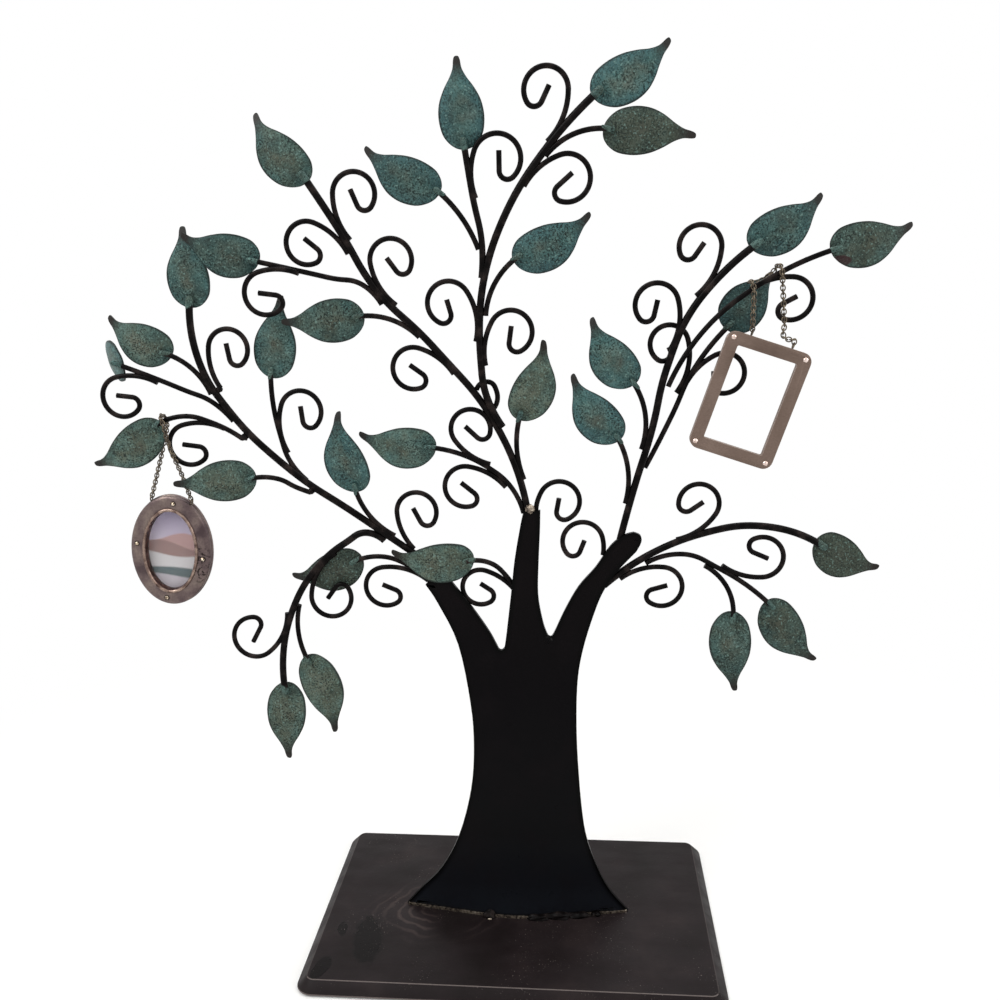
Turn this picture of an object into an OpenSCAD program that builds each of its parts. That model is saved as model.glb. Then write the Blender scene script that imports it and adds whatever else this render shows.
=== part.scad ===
// Photo tree stand: a bent wire tree on a bevelled steel base, with two small
// picture frames that hang from its branches on fine chain.
//
// The model stands on Z = 0 with the middle of the base's underside at the
// origin. +X is the viewer's right and the viewer stands on the -Y side.
// The tree is drawn in its own flat view: x across, y up from the base's top
// and z towards the viewer. tree() stands that view up on the base.

/* [Base] */
// Width of the base's top face
base_w = 204; // [150:1:260]
// Depth of the base's top face
base_d = 130; // [90:1:180]
// How far the bevelled edge spreads outwards and falls
bevel = 5; // [2:0.5:8]
// Thickness of the felt sheet under the base
felt_t = 0.8; // [0.5:0.1:2]

/* [Trunk] */
// Thickness of the trunk's sheet steel
sheet_t = 2; // [1.5:0.1:3]
// How far the middle of the trunk's foot stands in front of its corners
foot_front = 8; // [4:0.5:12]
// How far the trunk leans back, in degrees
lean = 1.2; // [0:0.1:2]

/* [Wire] */
// Radius of the wire of the six boughs
bough_r = 1.75; // [1.5:0.05:2]
// Radius of the wire of the twigs and scrolls
twig_r = 1.25; // [1:0.05:1.5]
// Radius of the small hook at the end of a scroll
hook_r = 3.8; // [3:0.1:4.5]

/* [Leaf] */
// Greatest width of a leaf
leaf_w = 21; // [16:0.5:24]
// Thickness of a leaf's sheet steel
leaf_t = 0.8; // [0.6:0.1:1.2]
// Radius to which a leaf is dished
leaf_dish = 55; // [40:1:90]

/* [Chain] */
// Radius of a chain link, to the middle of its wire
link_r = 1.25; // [1.1:0.05:1.4]
// Radius of the wire of a chain link
link_wire = 0.3; // [0.25:0.05:0.4]

/* [Rectangular frame] */
// Width of the rectangular frame
rect_w = 41; // [36:0.5:50]
// Height of the rectangular frame
rect_h = 57.5; // [50:0.5:70]
// Width of the rectangular frame's rim
rim = 6; // [4:0.5:8]
// Thickness of each of its two plates
plate_t = 1.4; // [1:0.1:2]
// Thickness of the spacer between the plates
spacer_t = 0.8; // [0.6:0.1:1.2]

/* [Oval frame] */
// Width of the oval frame
oval_w = 42; // [36:0.5:50]
// Height of the oval frame
oval_h = 58; // [50:0.5:70]
// Thickness of the oval frame from front to back
oval_t = 6; // [5:0.5:8]
// Width of the oval frame's rim
oval_rim = 8; // [6:0.5:10]

/* [Hidden] */
$fn = 32;

board_t = bevel + 0.6;
base_t = felt_t + board_t;
tree_y = -3.5;
// bends stop this far short of their ends, inside the round knuckle that joins them
knuckle = 0.12;

steel = [0.06, 0.055, 0.06];
slate = [0.2, 0.18, 0.185];
verdigris = [0.24, 0.4, 0.37];
taupe = [0.5, 0.42, 0.38];
pewter = [0.46, 0.42, 0.38];
brass = [0.35, 0.29, 0.2];

// Plane geometry

function unit(v) = v / norm(v);
function ang(v) = atan2(v[1], v[0]);
function polar(a) = [cos(a), sin(a)];
function wrap(a) = a > 180 ? wrap(a - 360) : a <= -180 ? wrap(a + 360) : a;
// the turn from one angle to another, always the same way round
function round_turn(a, b, hand) = hand * ((hand * (b - a) + 1440) % 360);

// the wire's heading at a marked point, from the points beside it
function heading(p, i) =
    let (n = len(p) - 1)
    i == 0 ? let (c = ang(p[1] - p[0])) c + wrap(c - heading(p, 1)) :
    i == n ? let (c = ang(p[n] - p[n - 1])) c + wrap(c - heading(p, n - 1)) :
    let (
        a = norm(p[i] - p[i - 1]),
        b = norm(p[i + 1] - p[i]),
        c = ang(p[i] - p[i - 1])
    )
    c + wrap(ang(p[i + 1] - p[i]) - c) * a / (a + b);

// where the two bends meet that lead from one point and heading to the next
function meet(p, q, hp, hq) =
    let (
        v = q - p,
        t = polar(hp),
        s = polar(hq),
        k = 1 - t * s,
        b = v * (t + s),
        d = k < 0.0001 ? (v * v) / (2 * b) : (sqrt(b * b + 2 * k * (v * v)) - b) / (2 * k)
    )
    (p + q + d * (t - s)) / 2;

// a bend is [start, heading, length, turn]
function bend(p, q, h) =
    let (c = norm(q - p), a = 2 * wrap(ang(q - p) - h))
    abs(a) < 0.3 ? [p, h, c, 0] : [p, h, c * (a / 2) * PI / 180 / sin(a / 2), a];

// the bends of a wire that runs smoothly through its marked points
function bends(p) = [
    for (i = [0 : len(p) - 2])
        let (
            hp = heading(p, i),
            m = meet(p[i], p[i + 1], hp, heading(p, i + 1)),
            one = bend(p[i], m, hp)
        )
        each [one, bend(m, p[i + 1], hp + one[3])]
];

// the same points with the first one moved outwards, to run onto a leaf
function onto_leaf(p, d = 4.5) =
    concat([p[0] + d * unit(p[0] - p[1])], [for (i = [1 : len(p) - 1]) p[i]]);

// a scroll's bends: stem, loop, hook and straight tip
// w weld, c and r loop centre and radius, at where the hook begins on the loop, e tip
function scroll(w, c, r, at, e, hand, stem = 30) =
    let (
        d = norm(w - c),
        apart = acos((stem * stem + d * d - (stem - r) * (stem - r)) / (2 * stem * d)),
        o = w + stem * polar(ang(c - w) + hand * apart),
        t = c + r * unit(c - o),
        at_t = ang(t - o),
        q = c + (r - hook_r) * polar(at),
        out = ang(e - q) - hand * acos(hook_r / norm(e - q)),
        z = q + hook_r * polar(out),
        stem_turn = round_turn(ang(w - o), at_t, hand),
        loop_turn = round_turn(at_t, at, hand),
        hook_turn = round_turn(at, out, hand)
    )
    [
        [w, ang(w - o) + hand * 90, stem * abs(stem_turn) * PI / 180, stem_turn],
        [t, at_t + hand * 90, r * abs(loop_turn) * PI / 180, loop_turn],
        [c + r * polar(at), at + hand * 90, hook_r * abs(hook_turn) * PI / 180, hook_turn],
        [z, out + hand * 90, norm(e - z), 0]
    ];

// a smooth outline through hand-set points
function curve(p, n = 4) = [
    for (i = [0 : len(p) - 2])
        let (
            a = p[max(i - 1, 0)],
            b = p[i],
            c = p[i + 1],
            d = p[min(i + 2, len(p) - 1)]
        )
        for (k = [0 : n - 1])
            let (t = k / n)
            b + ((c - a) * t + (2 * a - 5 * b + 4 * c - d) * t * t + (3 * b - a - 3 * c + d) * t * t * t) / 2
];

function rounded(w, h, r, n = 6) = [
    for (c = [[1, 1, 0], [-1, 1, 90], [-1, -1, 180], [1, -1, 270]])
        for (k = [0 : n])
            [c[0] * (w / 2 - r), c[1] * (h / 2 - r)] + r * polar(c[2] + 90 * k / n)
];

function oval(w, h, n = 72) = [for (k = [0 : n - 1]) [w / 2 * cos(360 * k / n), h / 2 * sin(360 * k / n)]];

// Shared pieces

module tree() {
    translate([0, tree_y, base_t])
        rotate([90, 0, 0])
            children();
}

module tube(r, l, a) {
    big = a == 0 ? 0 : l * 180 / PI / abs(a);
    if (a == 0)
        rotate([0, 90, 0]) cylinder(r = r, h = l);
    else if (a > 0)
        translate([0, big, 0]) rotate([0, 0, -90])
            rotate_extrude(angle = a) translate([big, 0]) circle(r);
    else
        translate([0, -big, 0]) rotate([0, 0, 90 + a])
            rotate_extrude(angle = -a) translate([big, 0]) circle(r);
}

// round wire along its bends, z in front of the tree's plane
module wire(s, r, z = 0) {
    translate([0, 0, z])
        for (i = [0 : len(s) - 1]) {
            h = s[i][1];
            c = s[i][3] * knuckle / s[i][2];
            q = s[i][0] + knuckle * polar(h + c / 2);
            translate([q[0], q[1], 0]) rotate([0, 0, h + c])
                tube(r, s[i][2] - 2 * knuckle, s[i][3] - 2 * c);
            if (i > 0)
                translate([s[i][0][0], s[i][0][1], 0])
                    rotate([0, 0, h]) rotate([0, 90, 0]) cylinder(r = r + 0.03, h = 0.5, center = true);
        }
}

module twig(p, z = 0, r = twig_r) {
    wire(bends(onto_leaf(p)), r, z);
}

// a leaf's form: shares of its length, and of half its width there
leaf_form = [[0, 0.1], [0.02, 0.36], [0.08, 0.66], [0.18, 0.9], [0.34, 1], [0.5, 0.92], [0.64, 0.68],
    [0.76, 0.38], [0.86, 0.2], [0.95, 0.15], [0.99, 0.1], [1, 0.03]];
// how far a curled leaf's middle line strays from the straight way to its tip
leaf_bow = 0.18;

function leaf_outline(l, curl) =
    let (
        half = concat(curve(leaf_form, 2), [[1, 0.03]]),
        side = [for (h = half)
            let (t = h[0])
            [l * t, curl * l * leaf_bow * (t * t * t - t), leaf_w / 2 * h[1]]],
        n = len(side) - 1
    )
    concat(
        [for (s = side) [s[0], s[1] + s[2]]],
        [for (k = [n : -1 : 0]) [side[k][0], side[k][1] - side[k][2]]]
    );

// a dished leaf behind the wire end that it is welded to
// b base, e tip, curl to its left (1) or right (-1), tip tilted forwards and left side rolled
// forwards in degrees, seat the distance from its base at which it lies against the wire
module leaf(b, e, curl = 0, tilt = 0, z = 0, r = twig_r, long = 0, roll = 0, seat = 4) {
    l = long > 0 ? long : norm(e - b);
    front = z - r + 0.2;
    mid = l * 0.45;
    sink = sqrt(leaf_dish * leaf_dish - (mid - 4) * (mid - 4));
    translate([b[0], b[1], front])
        rotate([0, 0, ang(e - b)])
            translate([seat, 0, 0]) rotate([roll, -tilt, 0]) translate([-seat, 0, 0])
                difference() {
                    intersection() {
                        translate([0, 0, -9]) linear_extrude(height = 14) polygon(leaf_outline(l, curl));
                        translate([mid, 0, -sink]) sphere(leaf_dish);
                    }
                    translate([mid, 0, -sink]) sphere(leaf_dish - leaf_t);
                }
}

// Base

module base_board() {
    color(slate)
        translate([0, 0, felt_t])
            hull()
                for (x = [-1, 1], y = [-1, 1])
                    translate([x * (base_w / 2 - 4), y * (base_d / 2 - 4), 0]) {
                        cylinder(r = 4 + bevel, h = board_t - bevel);
                        translate([0, 0, board_t - bevel]) cylinder(r1 = 4 + bevel, r2 = 4, h = bevel);
                    }
}

module base_felt() {
    color([0.05, 0.05, 0.055])
        linear_extrude(height = felt_t)
            polygon(rounded(base_w + 2, base_d + 2, 6));
}

// Trunk

trunk_left = [[-61, 0], [-52, 12], [-40, 27], [-30, 47.5], [-23, 75], [-21, 100], [-22.3, 124],
    [-28, 156], [-38, 178], [-44, 187.5]];
trunk_left_tip = [[-44, 187.5], [-41.5, 190], [-37, 190.8], [-32, 190.3], [-29.5, 188]];
trunk_left_fork = [[-29.5, 188], [-20, 175.5], [-12, 163.5], [-8.6, 157], [-6.8, 153.6], [-4.8, 154],
    [-3.6, 158.5], [-0.6, 183], [1.4, 201], [4.5, 219], [6.2, 226.5]];
trunk_right_fork = [[14.4, 226.5], [14.1, 215], [13.4, 200], [13.1, 183], [15.3, 169.5], [17.4, 162.8],
    [18.9, 160.9], [20.8, 162.6], [26.4, 175], [33.3, 187.5], [41.7, 197.5], [49, 208.5], [55.5, 213.8],
    [60.3, 215.3]];
trunk_right_tip = [[60.3, 215.3], [63.6, 213.8], [64.2, 210.4], [61.8, 205.5]];
trunk_right = [[61.8, 205.5], [51.8, 194.5], [45.5, 184.5], [40.9, 172.5], [36, 155.5], [33.2, 139],
    [32.5, 117], [33.3, 92], [35.9, 60.5], [39.5, 42.3], [48, 19.5], [58.6, 3.2], [61, 0]];

function trunk_outline() = concat(curve(trunk_left), curve(trunk_left_tip, 2), curve(trunk_left_fork),
    [[6.2, 226.5]], curve(trunk_right_fork), curve(trunk_right_tip, 3), curve(trunk_right), [[61, 0]]);

// the trunk's sheet is part of a wide cone, tightly curved at the foot and almost flat at the limbs
module cone(back = 0) {
    translate([0, 0, foot_front])
        rotate([-lean, 0, 0])
            translate([0, 0, -back])
                translate([0, -12, 0])
                    rotate([-90 - 80, 0, 0])
                        cylinder(r1 = 0, r2 = 60 * tan(80), h = 60);
}

module trunk() {
    color(steel)
        tree()
            intersection() {
                translate([0, 0, -20]) linear_extrude(height = 40) polygon(trunk_outline());
                difference() {
                    cone();
                    cone(sheet_t);
                }
            }
}

// the pale seam of solder along the front of the foot
module foot_seam() {
    color([0.62, 0.56, 0.5])
        tree()
            intersection() {
                translate([-60, 0, -20]) cube([120, 1.2, 40]);
                difference() {
                    cone(-1.1);
                    cone();
                }
            }
}

module weld_beads() {
    color([0.5, 0.47, 0.42])
        tree() {
            translate([9.4, 226.9, 2]) sphere(2.3);
            translate([-46, 200.4, -0.6]) sphere(2);
            translate([53.5, 208, -0.6]) sphere(2);
            translate([47.4, 190, -0.6]) sphere(2);
            translate([-14, 0.3, 9]) sphere(1.6);
        }
}

// Boughs

// the marked points of each bough, from its weld to its end
bough_left_way = [[-46, 200.5], [-77, 222.4], [-110, 245.5], [-138, 273.6], [-151, 294.5], [-155.2, 330.5]];
bough_droop_way = [[-64.5, 209.6], [-73, 213.8], [-86.5, 207.3], [-104.5, 190], [-116.5, 167], [-121.5, 126]];
bough_centre_way = [[8.3, 223.5], [2.8, 246.5], [-10, 273.8], [-37, 307], [-64.5, 335.5], [-80, 362],
    [-96, 387]];
bough_top_way = [[-3.6, 267.7], [-11, 282], [-14, 305], [-10.9, 340.9], [1.8, 372.7], [19, 397], [42, 420]];
bough_right_way = [[53, 208], [60.5, 238.2], [67.7, 263.6], [74.8, 296], [83.6, 319], [101.8, 341.8],
    [115.5, 353]];
bough_low_way = [[46, 187], [62.7, 200], [90, 213.2], [117.3, 218.6], [142.7, 213.6], [153, 208]];

module bough_left() {
    color(steel) tree()
        wire(bends(bough_left_way), bough_r);
}
module bough_droop() {
    color(steel) tree()
        wire(bends(bough_droop_way), bough_r);
}
module bough_centre() {
    color(steel) tree()
        wire(bends(bough_centre_way), bough_r);
}
module bough_top() {
    color(steel) tree()
        wire(bends(bough_top_way), bough_r, 1.2);
}
module bough_right() {
    color(steel) tree()
        wire(bends(bough_right_way), bough_r);
}
module bough_low() {
    color(steel) tree()
        wire(bends(bough_low_way), bough_r);
}

// Twigs

module twigs_left() {
    color(steel) tree() {
        twig([[-168.2, 303.2], [-158.2, 298.2], [-148.3, 284.2]]);
        twig([[-192.7, 298.6], [-163.6, 287.3], [-147.3, 280], [-138, 270.8]]);
        twig([[-175, 269.5], [-161.8, 273.5], [-147.3, 269.5], [-134, 262]]);
        twig([[-129, 241.4], [-117.3, 241.8], [-107, 237], [-101, 234.8]], 0.8);
        twig([[-117.5, 291.8], [-116, 267.3], [-110, 248.5], [-103, 240.5]], -1.4);
        twig([[-76.8, 234.1], [-70.9, 221.8], [-59, 212.3]]);
    }
}
module twigs_droop() {
    color(steel) tree() {
        twig([[-109.1, 146.4], [-112.9, 161.8], [-111.2, 174.5]], -1.6);
        twig([[-78.2, 198.2], [-65.5, 200.7], [-51.8, 195.5], [-42, 187.5]], -1.6);
    }
}
module twigs_centre() {
    color(steel) tree() {
        twig([[-120, 347.7], [-86.4, 340], [-69.1, 335.9], [-60.8, 326.8]]);
        twig([[-70, 320.9], [-57.3, 320], [-43.2, 311.2]]);
        twig([[-37.3, 256.4], [-13.6, 249.1], [-1, 239], [6, 224.5]], 0.4);
        twig([[4.5, 270], [2.9, 258.2], [6.4, 241.5]]);
    }
}
module twigs_top() {
    color(steel) tree() {
        twig([[-19.1, 395.5], [-16.8, 380], [-12, 350], [-12.7, 338.5]], 1.2, 1.5);
        twig([[-30, 375.5], [-20.9, 365.5], [-13.8, 351.5]], 1.2);
        twig([[2.7, 345.5], [-7.3, 334.5], [-11, 321]], 1.2);
        twig([[43.2, 402.7], [30, 401.4], [17.5, 392.2]], 1.2);
    }
}
module twigs_right() {
    color(steel) tree() {
        twig([[60, 285.5], [65.3, 271], [63.4, 256.5]]);
        twig([[52.7, 259.1], [57.3, 245.5], [56, 229.5]]);
        twig([[147.7, 348.2], [122.7, 337.7], [92.7, 314.5], [75.5, 286.8]]);
        twig([[102, 313], [86.4, 292.7], [78.2, 273.6], [65.4, 247]], -2);
    }
}
module twigs_low() {
    color(steel) tree() {
        twig([[109.3, 173.2], [105.5, 189.1], [95.5, 198]]);
        twig([[126.4, 179.1], [105.5, 195], [84.5, 203.8], [66.5, 198.8]]);
    }
}
module twig_limb() {
    // it comes forward from behind the middle limb to its leaf
    color(steel) tree()
        translate([1.5, 0, 0.6]) rotate([0, 12, 0]) translate([-1.5, 0, 0])
            twig([[-18.9, 200], [-9.7, 198.6], [-2.8, 191.7], [1.5, 184.5]]);
}

// Scrolls

module curl(w, c, r, at, e, hand, z = 0, stem = 30) {
    wire(scroll(w, c, r, at, e, hand, stem), twig_r, z);
}

module scrolls_left() {
    color(steel) tree() {
        curl([-143.2, 287.3], [-138, 306.5], 9.8, 314, [-138.8, 309.5], -1);
        curl([-175, 290.2], [-194, 283.4], 10, 320, [-196.8, 284.1], 1);
        curl([-143.2, 267], [-162, 259], 10.3, 313, [-165.5, 259.1], 1, -0.8);
        curl([-111.6, 254.5], [-104, 275.6], 10.2, 314, [-104.1, 278.2], -1, -1.4);
    }
}
module scrolls_droop() {
    color(steel) tree() {
        curl([-90, 203], [-93.7, 179.2], 10.4, 30, [-95.6, 178.6], 1);
        curl([-117.5, 170.5], [-135.8, 156.8], 11, 89, [-136.8, 154.1], -1);
    }
}
module scrolls_centre() {
    color(steel) tree() {
        curl([-74.6, 357], [-72, 377.8], 10, 323, [-73.6, 380], -1);
        curl([-76, 350.5], [-95.6, 356], 10, 293, [-96.8, 358.2], 1);
        curl([-53.8, 326.5], [-55.7, 347.5], 10, 333, [-57.7, 348.6], -1);
        curl([-100, 342], [-117, 333.1], 10.3, 313, [-120.5, 333.2], 1, 1.2);
        curl([-27, 293.4], [-46.7, 296.5], 10.1, 290, [-48.6, 298.2], 1);
        curl([-10, 249.2], [-19.5, 266.8], 9.7, 346, [-22.3, 268.2], -1, 0.4);
        curl([-2.6, 237.6], [-22.7, 237.9], 10.3, 287, [-25, 240], 1, 0.4);
    }
}
module scrolls_top() {
    color(steel) tree() {
        curl([18.3, 398.5], [18, 420.7], 10, 211, [19.5, 422.7], 1, 1.2);
        curl([-14.6, 374.5], [-4.6, 391.8], 11, 312, [-3.6, 395.5], -1, 1.2);
        curl([7.6, 379.3], [27.5, 382.7], 10.6, 253, [30, 385], -1, 1.2);
        curl([-16, 309], [-28.5, 327.3], 10.2, 244, [-29.5, 329.1], 1, 1.2);
        curl([-11.4, 297.5], [0.8, 313.5], 10.2, 297, [1.1, 316.4], -1, 1.2);
        wire(bends([[-8.2, 276.5], [-6.4, 284], [-10, 289.4], [-16.4, 285.5]]), twig_r, -1.6);
    }
}
module scrolls_right() {
    color(steel) tree() {
        curl([87.2, 329], [88.7, 351.4], 9.7, 201, [90.5, 353.2], 1);
        curl([76.4, 305], [69.4, 325.2], 10.1, 219, [69.8, 327.7], 1);
        curl([79.6, 283.5], [75.8, 306.8], 9, 235, [75.6, 305.5], 1, -2.6);
        curl([112, 331.6], [130.9, 327.4], 9.8, 251, [133.6, 328.4], -1);
        curl([84.6, 289], [101.8, 292.9], 9.6, 262, [97, 294], -1, -2);
    }
}
module scrolls_low() {
    color(steel) tree() {
        curl([54, 190.6], [74.7, 186.8], 10.2, 235, [77.7, 187.5], -1);
        curl([81.2, 211.2], [91.8, 229.6], 9.8, 183, [94.1, 230.5], 1);
        curl([104, 198.2], [123.4, 202.5], 10.3, 115, [126.4, 201.8], 1);
    }
}
module scrolls_limb() {
    color(steel) tree() {
        curl([-49.6, 205.4], [-47.7, 224.8], 10, 327, [-49.5, 226.8], -1);
        curl([-43, 188.8], [-65, 185.4], 10.3, 304, [-66.8, 186.4], 1);
        curl([1.8, 183.5], [-16.2, 185.7], 9.2, 302, [-16.4, 187.7], 1, 0.6);
        curl([12.2, 222.5], [23.7, 230.7], 10, 293, [23.6, 232.3], -1, 0.6, 22);
        curl([45.4, 203], [35.3, 209.9], 10, 218, [36.2, 210.5], 1, 0, 22);
    }
}

// Leaves

module leaves_left() {
    color(verdigris) tree() {
        leaf([-154.7, 326.4], [-157.5, 365], 0, 0, 0, bough_r);
        leaf([-168, 303], [-198.6, 322.8], -1);
        leaf([-193, 298.6], [-203, 300.4], 0, -52, 0, twig_r, 36, -18, 1.5);
        leaf([-117.5, 291.8], [-112, 332], 0, -3, -1.4);
        leaf([-176, 268.5], [-213.6, 248.6], -1, 2);
        leaf([-129, 241.5], [-170, 240], 0, 14, 0.8);
        leaf([-77.3, 234.5], [-85.9, 275], -1);
    }
}
module leaves_droop() {
    color(verdigris) tree() {
        leaf([-121.4, 130], [-122.9, 85.9], 0, 3, 0, bough_r);
        leaf([-108.6, 145.5], [-97.7, 100], -1, 0, -1.6);
        leaf([-77.3, 198.2], [-116.4, 188.2], -1, -4, -1.6);
    }
}
module leaves_centre() {
    color(verdigris) tree() {
        leaf([-95, 383.5], [-118, 415], -1, 0, 0, bough_r);
        leaf([-120, 348], [-156, 361], -1, 9);
        leaf([-70, 320.7], [-110, 319.5], -0.3, 9);
        leaf([-37.3, 256.4], [-75.9, 264.1], -1, 0, 0.4);
        leaf([4.5, 270.5], [16.2, 309.1], 1);
    }
}
module leaves_top() {
    color(verdigris) tree() {
        leaf([-19.5, 396.4], [-22.7, 436.8], 0, 0, 1.2, 1.5);
        leaf([-31.8, 377.3], [-66.4, 398.6], -1, 0, 1.2);
        leaf([39, 417.5], [73.1, 441.1], 1, 0, 1.2, bough_r);
        leaf([43.6, 402.7], [85.6, 400], -0.3, 0, 1.2);
        leaf([2.7, 345.5], [38.2, 367.3], 1, 0, 1.2);
    }
}
module leaves_right() {
    color(verdigris) tree() {
        leaf([58.8, 287], [39.1, 319.5], -1);
        leaf([52.3, 260], [30, 292.7], -1);
        leaf([111.5, 351], [143.2, 373.8], 1, 0, 0, bough_r);
        leaf([148, 349], [184.1, 360], 1);
        leaf([102, 314], [125, 340], 0, -12, -2);
    }
}
module leaves_low() {
    color(verdigris) tree() {
        leaf([149, 209], [181, 196.7], 1, 0, 0, bough_r);
        leaf([109.3, 173], [113.9, 129.2], 0.5);
        leaf([127, 178.5], [153.3, 147.2], 1);
    }
}
module leaf_limb() {
    color(verdigris) tree()
        leaf([-19, 200], [-60.5, 205], -1, 4, 5.4);
}

// Chain

// half way between links that pull tight and links that touch end to end
pitch = (3 * link_r - link_wire) / 2;
// the chain's path ends this far above an eyelet's middle
eye_gap = 0.9;

// one round link that pulls along the line from p to q
module link(p, q, side) {
    d = q - p;
    translate((p + q) / 2)
        rotate([0, 0, atan2(d[1], d[0])])
            rotate([0, -atan2(d[2], norm([d[0], d[1]])), 0])
                rotate([side ? 90 : 0, 0, 0])
                    rotate_extrude() translate([link_r, 0]) circle(link_wire);
}

// the length of a path and the point at a distance along it
function path_length(p, i = 0) = i >= len(p) - 1 ? 0 : norm(p[i + 1] - p[i]) + path_length(p, i + 1);
function path_point(p, d, i = 0) =
    let (l = norm(p[i + 1] - p[i]))
    d <= l || i == len(p) - 2 ? p[i] + (p[i + 1] - p[i]) * d / l : path_point(p, d - l, i + 1);

// links threaded one through the next along a path; odd sets which way the first one faces
module chain(p, odd = 0) {
    l = path_length(p);
    // an odd number, so that both end links face the same way
    n = 2 * round((l / pitch - 1) / 2) + 1;
    for (i = [0 : n - 1])
        link(path_point(p, l * i / n), path_point(p, l * (i + 1) / n), (i + odd) % 2 == 1);
}

// Rectangular frame

// its swing line runs through the two places where the chain leaves the branch
rect_z = 3.4;
rect_a = [113.3, 330.5, rect_z];
rect_b = [125.8, 336.8, rect_z];
lug_u = 10;
lug_v = 30.2;
rect_lug = [113.3, 312.3, rect_z];
rect_tilt = -atan2(lug_u, lug_v);

module rect_place() {
    tree()
        translate(rect_lug)
            rotate([0, 0, rect_tilt])
                translate([lug_u, -lug_v, 0])
                    children();
}

module rim_plate(w, h, r, iw, ih, ir, t) {
    difference() {
        linear_extrude(height = t) polygon(rounded(w, h, r));
        translate([0, 0, -1]) linear_extrude(height = t + 2) polygon(rounded(iw, ih, ir));
        for (x = [-1, 1], y = [-1, 1])
            translate([x * (rect_w - rim) / 2, y * (rect_h - rim) / 2, -1]) cylinder(r = 0.8, h = t + 2);
    }
}

module rect_front() {
    color(taupe) rect_place()
        translate([0, 0, spacer_t / 2])
            rim_plate(rect_w, rect_h, 4.5, rect_w - 2 * rim, rect_h - 2 * rim, 0.8, plate_t);
}
module rect_back() {
    color(taupe) rect_place()
        translate([0, 0, -spacer_t / 2 - plate_t])
            rim_plate(rect_w, rect_h, 4.5, rect_w - 2 * rim, rect_h - 2 * rim, 0.8, plate_t);
}
module rect_spacer() {
    color([0.2, 0.17, 0.15]) rect_place()
        translate([0, 0, -spacer_t / 2])
            rim_plate(rect_w - 2.6, rect_h - 2.6, 3.4, rect_w - 8.6, rect_h - 8.6, 1, spacer_t);
}
module rect_pins() {
    color([0.75, 0.66, 0.6]) rect_place()
        for (x = [-1, 1], y = [-1, 1])
            translate([x * (rect_w - rim) / 2, y * (rect_h - rim) / 2, 0]) {
                translate([0, 0, -spacer_t / 2 - plate_t - 0.1])
                    cylinder(r = 0.8, h = spacer_t + 2 * plate_t + 0.2);
                for (s = [-1, 1])
                    translate([0, 0, s * (spacer_t / 2 + plate_t)])
                        intersection() {
                            translate([0, 0, -s * 0.9]) sphere(1.5);
                            translate([0, 0, s > 0 ? 0 : -2]) cylinder(r = 3, h = 2);
                        }
            }
}

module eyelet(u, v, stem) {
    translate([u, v, 0]) {
        rotate([0, 90, 0]) rotate_extrude() translate([1.35, 0]) circle(0.35);
        rotate([90, 0, 0]) translate([0, 0, 1.2]) cylinder(r = 0.38, h = stem);
    }
}
module rect_eyelets() {
    color(brass) rect_place()
        for (s = [-1, 1])
            eyelet(s * lug_u, lug_v, 1.9);
}

// a point on the frame's face, seen from the tree
function on_rect(u, v) =
    let (a = rect_tilt, x = u + lug_u, y = v - lug_v)
    [rect_lug[0] + x * cos(a) - y * sin(a), rect_lug[1] + x * sin(a) + y * cos(a), rect_z];

module rect_chain() {
    color(brass) tree() {
        chain([rect_a, rect_lug + [0, eye_gap, 0]]);
        // the longer strand hangs slack and lies along the frame's top edge
        chain([rect_b, on_rect(3, lug_v + 7), on_rect(3.2, lug_v + 4.5), on_rect(4, lug_v + 2.6),
            on_rect(5.5, lug_v + 1.8), on_rect(8, lug_v + 2.2), on_rect(lug_u - 0.5, lug_v + 2.7),
            on_rect(lug_u, lug_v + eye_gap)]);
    }
}

// the part of the chain that rests on the branch: over it, along behind it and over it again
module rect_wrap() {
    color(brass) tree()
        chain([rect_a, [113.2, 332.4, 3.4], [112.6, 334.4, 2.7], [112, 335.6, 1], [111.7, 335.7, -0.9],
            [112, 335, -2.5], [113.4, 334.4, -3.6], [116, 334.8, -3.7], [119, 336.4, -3.6],
            [121.8, 338.4, -3.5], [123.4, 340.4, -2.9], [124.1, 342.1, -1.4], [124.4, 342.9, 0.4],
            [124.9, 342.2, 2.2], [125.5, 340.4, 3.3], rect_b], 1);
}

// Oval frame

oval_c = [-176, 204, 0];
oval_tilt = -5;
oval_lug_u = 10.5;
oval_lug_v = 26.6;
hang = [-173.4, 271.2, 0];
hang_turn = 24;

module oval_place() {
    tree()
        translate(oval_c)
            rotate([0, 0, oval_tilt])
                children();
}
function on_oval(u, v) = [
    oval_c[0] + u * cos(oval_tilt) - v * sin(oval_tilt),
    oval_c[1] + u * sin(oval_tilt) + v * cos(oval_tilt),
    0
];

// the opening's outline, grown by a margin
module opening(grow = 0) {
    polygon(oval(oval_w - 2 * oval_rim + 2 * grow, oval_h - 2 * oval_rim + 2 * grow));
}

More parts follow.
